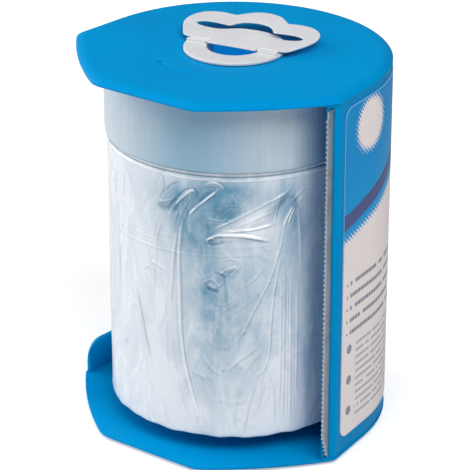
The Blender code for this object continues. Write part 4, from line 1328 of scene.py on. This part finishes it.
# Right half of its slot: the lower side from the middle to the tip, then the upper side back again
SLOT_WING = ((0.0, 12.46), (2.65, 12.19), (5.51, 11.13), (8.16, 9.79), (10.61, 9.08), (13.46, 8.9),
             (16.73, 9.26), (19.18, 10.15), (20.4, 11.59), (19.69, 12.63), (18.16, 13.39), (15.91, 13.73),
             (13.46, 13.8), (11.02, 13.59), (8.77, 13.32))
SLOT_CROWN = ((7.85, 14.08), (6.63, 15.92), (4.79, 17.39), (2.55, 18.12), (0.0, 18.4))


@dataclass
class TabPlate(HangerPart):
    """The hanger's thin tab with its hook slot, lying back just above the plate."""

    top: float = 0.00045
    thickness: float = 0.00050
    edge: float = 0.00030
    ease: float = 0.00008
    ease_highlight: float = 0.8
    half_steps: int = 150
    line_steps: int = 6

    def _loop(self, parts: Sequence) -> Array:
        """A closed loop, right half first, from the stretches of its right half, whose joints stay sharp."""
        half = np.vstack([smooth_line(part, self.line_steps) if len(part) > 2 else part for part in parts])
        walked = np.append(0.0, np.cumsum(np.linalg.norm(np.diff(half, axis=0), axis=1)))
        places = np.linspace(0, 1, self.half_steps) * walked[-1]
        right = np.column_stack([np.interp(places, walked, half[:, k]) for k in (0, 1)])
        return np.vstack((right, (right * (-1, 1))[-2:0:-1])) / 1000

    def build(self, material: Material) -> Piece:
        """Make the tab: both faces and both edges are one ring of rows from the slot to the outline and back.

        Args:
            material: The hanger's finish.

        Returns:
            The finished piece.
        """
        outer = self._loop((((0.0, TAB_FRONT[0][1]), TAB_FRONT[0]), TAB_FRONT, TAB_LOBE, TAB_CROWN))
        inner = self._loop((SLOT_WING, SLOT_CROWN))
        way = (outer - inner) / np.linalg.norm(outer - inner, axis=1, keepdims=True)
        low, shoulder = self.top - self.thickness, self.top - self.ease
        # The third number of each row is the painted edge highlight: full on the walls of the slot and
        # outline, less on the ease, none inside
        steps = ((0.0, low, 1.0), (0.0, shoulder, 1.0), (self.ease, self.top, self.ease_highlight),
                 (self.edge, self.top, 0.0))
        rows = [(inner + way * inset, height, tone) for inset, height, tone in steps]
        rows += [(outer - way * inset, height, tone) for inset, height, tone in steps[::-1]]
        plan = np.vstack([place for place, _, _ in rows])
        height = np.repeat([height for _, height, _ in rows], len(outer))
        y = plan[:, 1] * math.cos(self.tilt) - height * math.sin(self.tilt) + self.hinge_y
        z = plan[:, 1] * math.sin(self.tilt) + height * math.cos(self.tilt) + self.height
        faces = grid_faces(len(rows), len(outer), True, True)[:, ::-1]
        piece = add_piece("tab_plate", self.turned(plan[:, 0], y, z), faces, material, 40.0)
        paint(piece, "edge", np.repeat([tone for _, _, tone in rows], len(outer)))
        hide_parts("hang_tab")
        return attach(piece, Body.TAB.value)


# Studio


@dataclass(frozen=True)
class Lamp:
    """A soft square lamp: its place and side in metres and its power in watts."""

    name: str
    place: tuple
    size: float
    power: float


LAMPS = (
    Lamp("left_softbox", (-0.80, -0.55, 0.40), 0.7, 2.8),
    Lamp("rear_left_softbox", (-0.95, -0.15, 0.40), 0.7, 4.9),
    Lamp("key_softbox", (0.6, -0.3, 0.9), 0.6, 7.7),
    Lamp("front_softbox", (-0.05, -0.62, 0.95), 0.6, 1.7),
    Lamp("top_softbox", (-0.1, -0.1, 1.1), 0.8, 2.2),
    Lamp("fill_softbox", (0.62, -0.95, 0.25), 0.7, 0.6),
)


@dataclass
class Studio:
    """Pale floor, soft lamps, pale surroundings and the camera of the photograph."""

    camera_place: tuple = (0.4588, -0.6213, 0.4101)
    camera_turn: tuple = (65.936, 0.0, 36.448)
    lens: float = 185.3
    sensor: float = 36.0
    clip: tuple = (0.05, 20.0)
    aim: tuple = (0, 0, 0.07)
    floor_size: float = 4.0
    floor_tone: float = 0.9
    floor_glow: tuple = (0.42, 1.0)
    glow_reach: tuple = (0.2, 0.9)
    ambient: float = 0.004
    reflected: float = 0.1

    def build(self) -> None:
        """Set the stage."""
        self._camera()
        self._world()
        self._floor()
        for lamp in LAMPS:
            self._lamp(lamp)
        bpy.context.scene.view_settings.view_transform = "Standard"

    @staticmethod
    def _stand(name: str, data: bpy.types.ID) -> Piece:
        """Put a new object with some data into the scene."""
        thing = bpy.data.objects.new(name, data)
        bpy.context.scene.collection.objects.link(thing)
        return thing

    def _camera(self) -> None:
        """Stand the camera where the photograph was taken from."""
        data = bpy.data.cameras.new("photo_camera")
        data.sensor_width = self.sensor
        data.lens = self.lens
        data.clip_start, data.clip_end = self.clip
        camera = self._stand("photo_camera", data)
        camera.location = self.camera_place
        camera.rotation_euler = Euler([math.radians(angle) for angle in self.camera_turn])
        bpy.context.scene.camera = camera

    def _lamp(self, lamp: Lamp) -> None:
        """Hang a lamp that faces the middle of the dispenser."""
        data = bpy.data.lights.new(lamp.name, "AREA")
        data.shape = "SQUARE"
        data.size = lamp.size
        data.energy = lamp.power
        hung = self._stand(lamp.name, data)
        hung.location = lamp.place
        hung.rotation_euler = (Vector(self.aim) - Vector(lamp.place)).to_track_quat("-Z", "Y").to_euler()

    def _world(self) -> None:
        """White surroundings for the camera, dimmer ones for reflections and dark ones for surfaces."""
        world = bpy.data.worlds.new("pale_room")
        bpy.context.scene.world = world
        desk = NodeDesk(world, "Background")
        rays = desk.add("ShaderNodeLightPath").outputs
        seen = desk.math("MAXIMUM", rays["Is Camera Ray"], rays["Is Transmission Ray"])
        seen = desk.math("MAXIMUM", seen, desk.times(rays["Is Glossy Ray"], self.reflected))
        desk.set(Color=(1.0, 1.0, 1.0), Strength=desk.between(seen, 0.0, 1.0, self.ambient, 1.0, "LINEAR"))

    def _floor(self) -> None:
        """A plain white floor that keeps a soft shadow and glows white for the camera further out."""
        half = self.floor_size / 2
        corners = [(-half, -half, 0.0), (half, -half, 0.0), (half, half, 0.0), (-half, half, 0.0)]
        mesh = bpy.data.meshes.new("studio_floor")
        mesh.from_pydata(corners, [], [(0, 1, 2, 3)])
        desk = NodeDesk(bpy.data.materials.new("studio_white"))
        distance = desk.vector("LENGTH", desk.place)
        glow = desk.between(distance, *self.glow_reach, *self.floor_glow, "LINEAR")
        glow = desk.times(desk.add("ShaderNodeLightPath").outputs["Is Camera Ray"], glow)
        desk.set(Base_Color=(self.floor_tone,) * 3, Roughness=0.9, Emission_Color=(1.0, 1.0, 1.0),
                 Emission_Strength=glow)
        mesh.materials.append(desk.owner)
        self._stand("studio_floor", mesh)


def dress_node(name: str, material: Material) -> None:
    """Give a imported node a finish.

    Args:
        name: Name of the node.
        material: Its new finish.
    """
    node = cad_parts[name]
    node.data.materials.clear()
    node.data.materials.append(material)
    LOG.info("dressed %s", name)


def main() -> None:
    """Build every piece in order."""
    logging.basicConfig(level=logging.INFO, format="%(name)s: %(message)s")
    white = MilkyPlastic().material()
    dress_node("case_shell", MouldedPlastic().material())
    dress_node("hanger_ring", white)
    dress_node("roll_core", WoundCard().material())
    path = WallPath()
    pieces = [
        FilmWrap().build(ThinFilm().material()),
        TapeBand().build(CrepedPaper().material()),
        LabelSheet(path).build(PrintedLabel().material()),
        CutterStrip(path).build(RolledSteel().material()),
        TabPlate().build(white),
        *HingeWebs().build(white),
    ]
    for piece in pieces:
        LOG.info("built %s with %d faces", piece.name, len(piece.data.polygons))
    Studio().build()


if __name__ == "__main__":
    main()
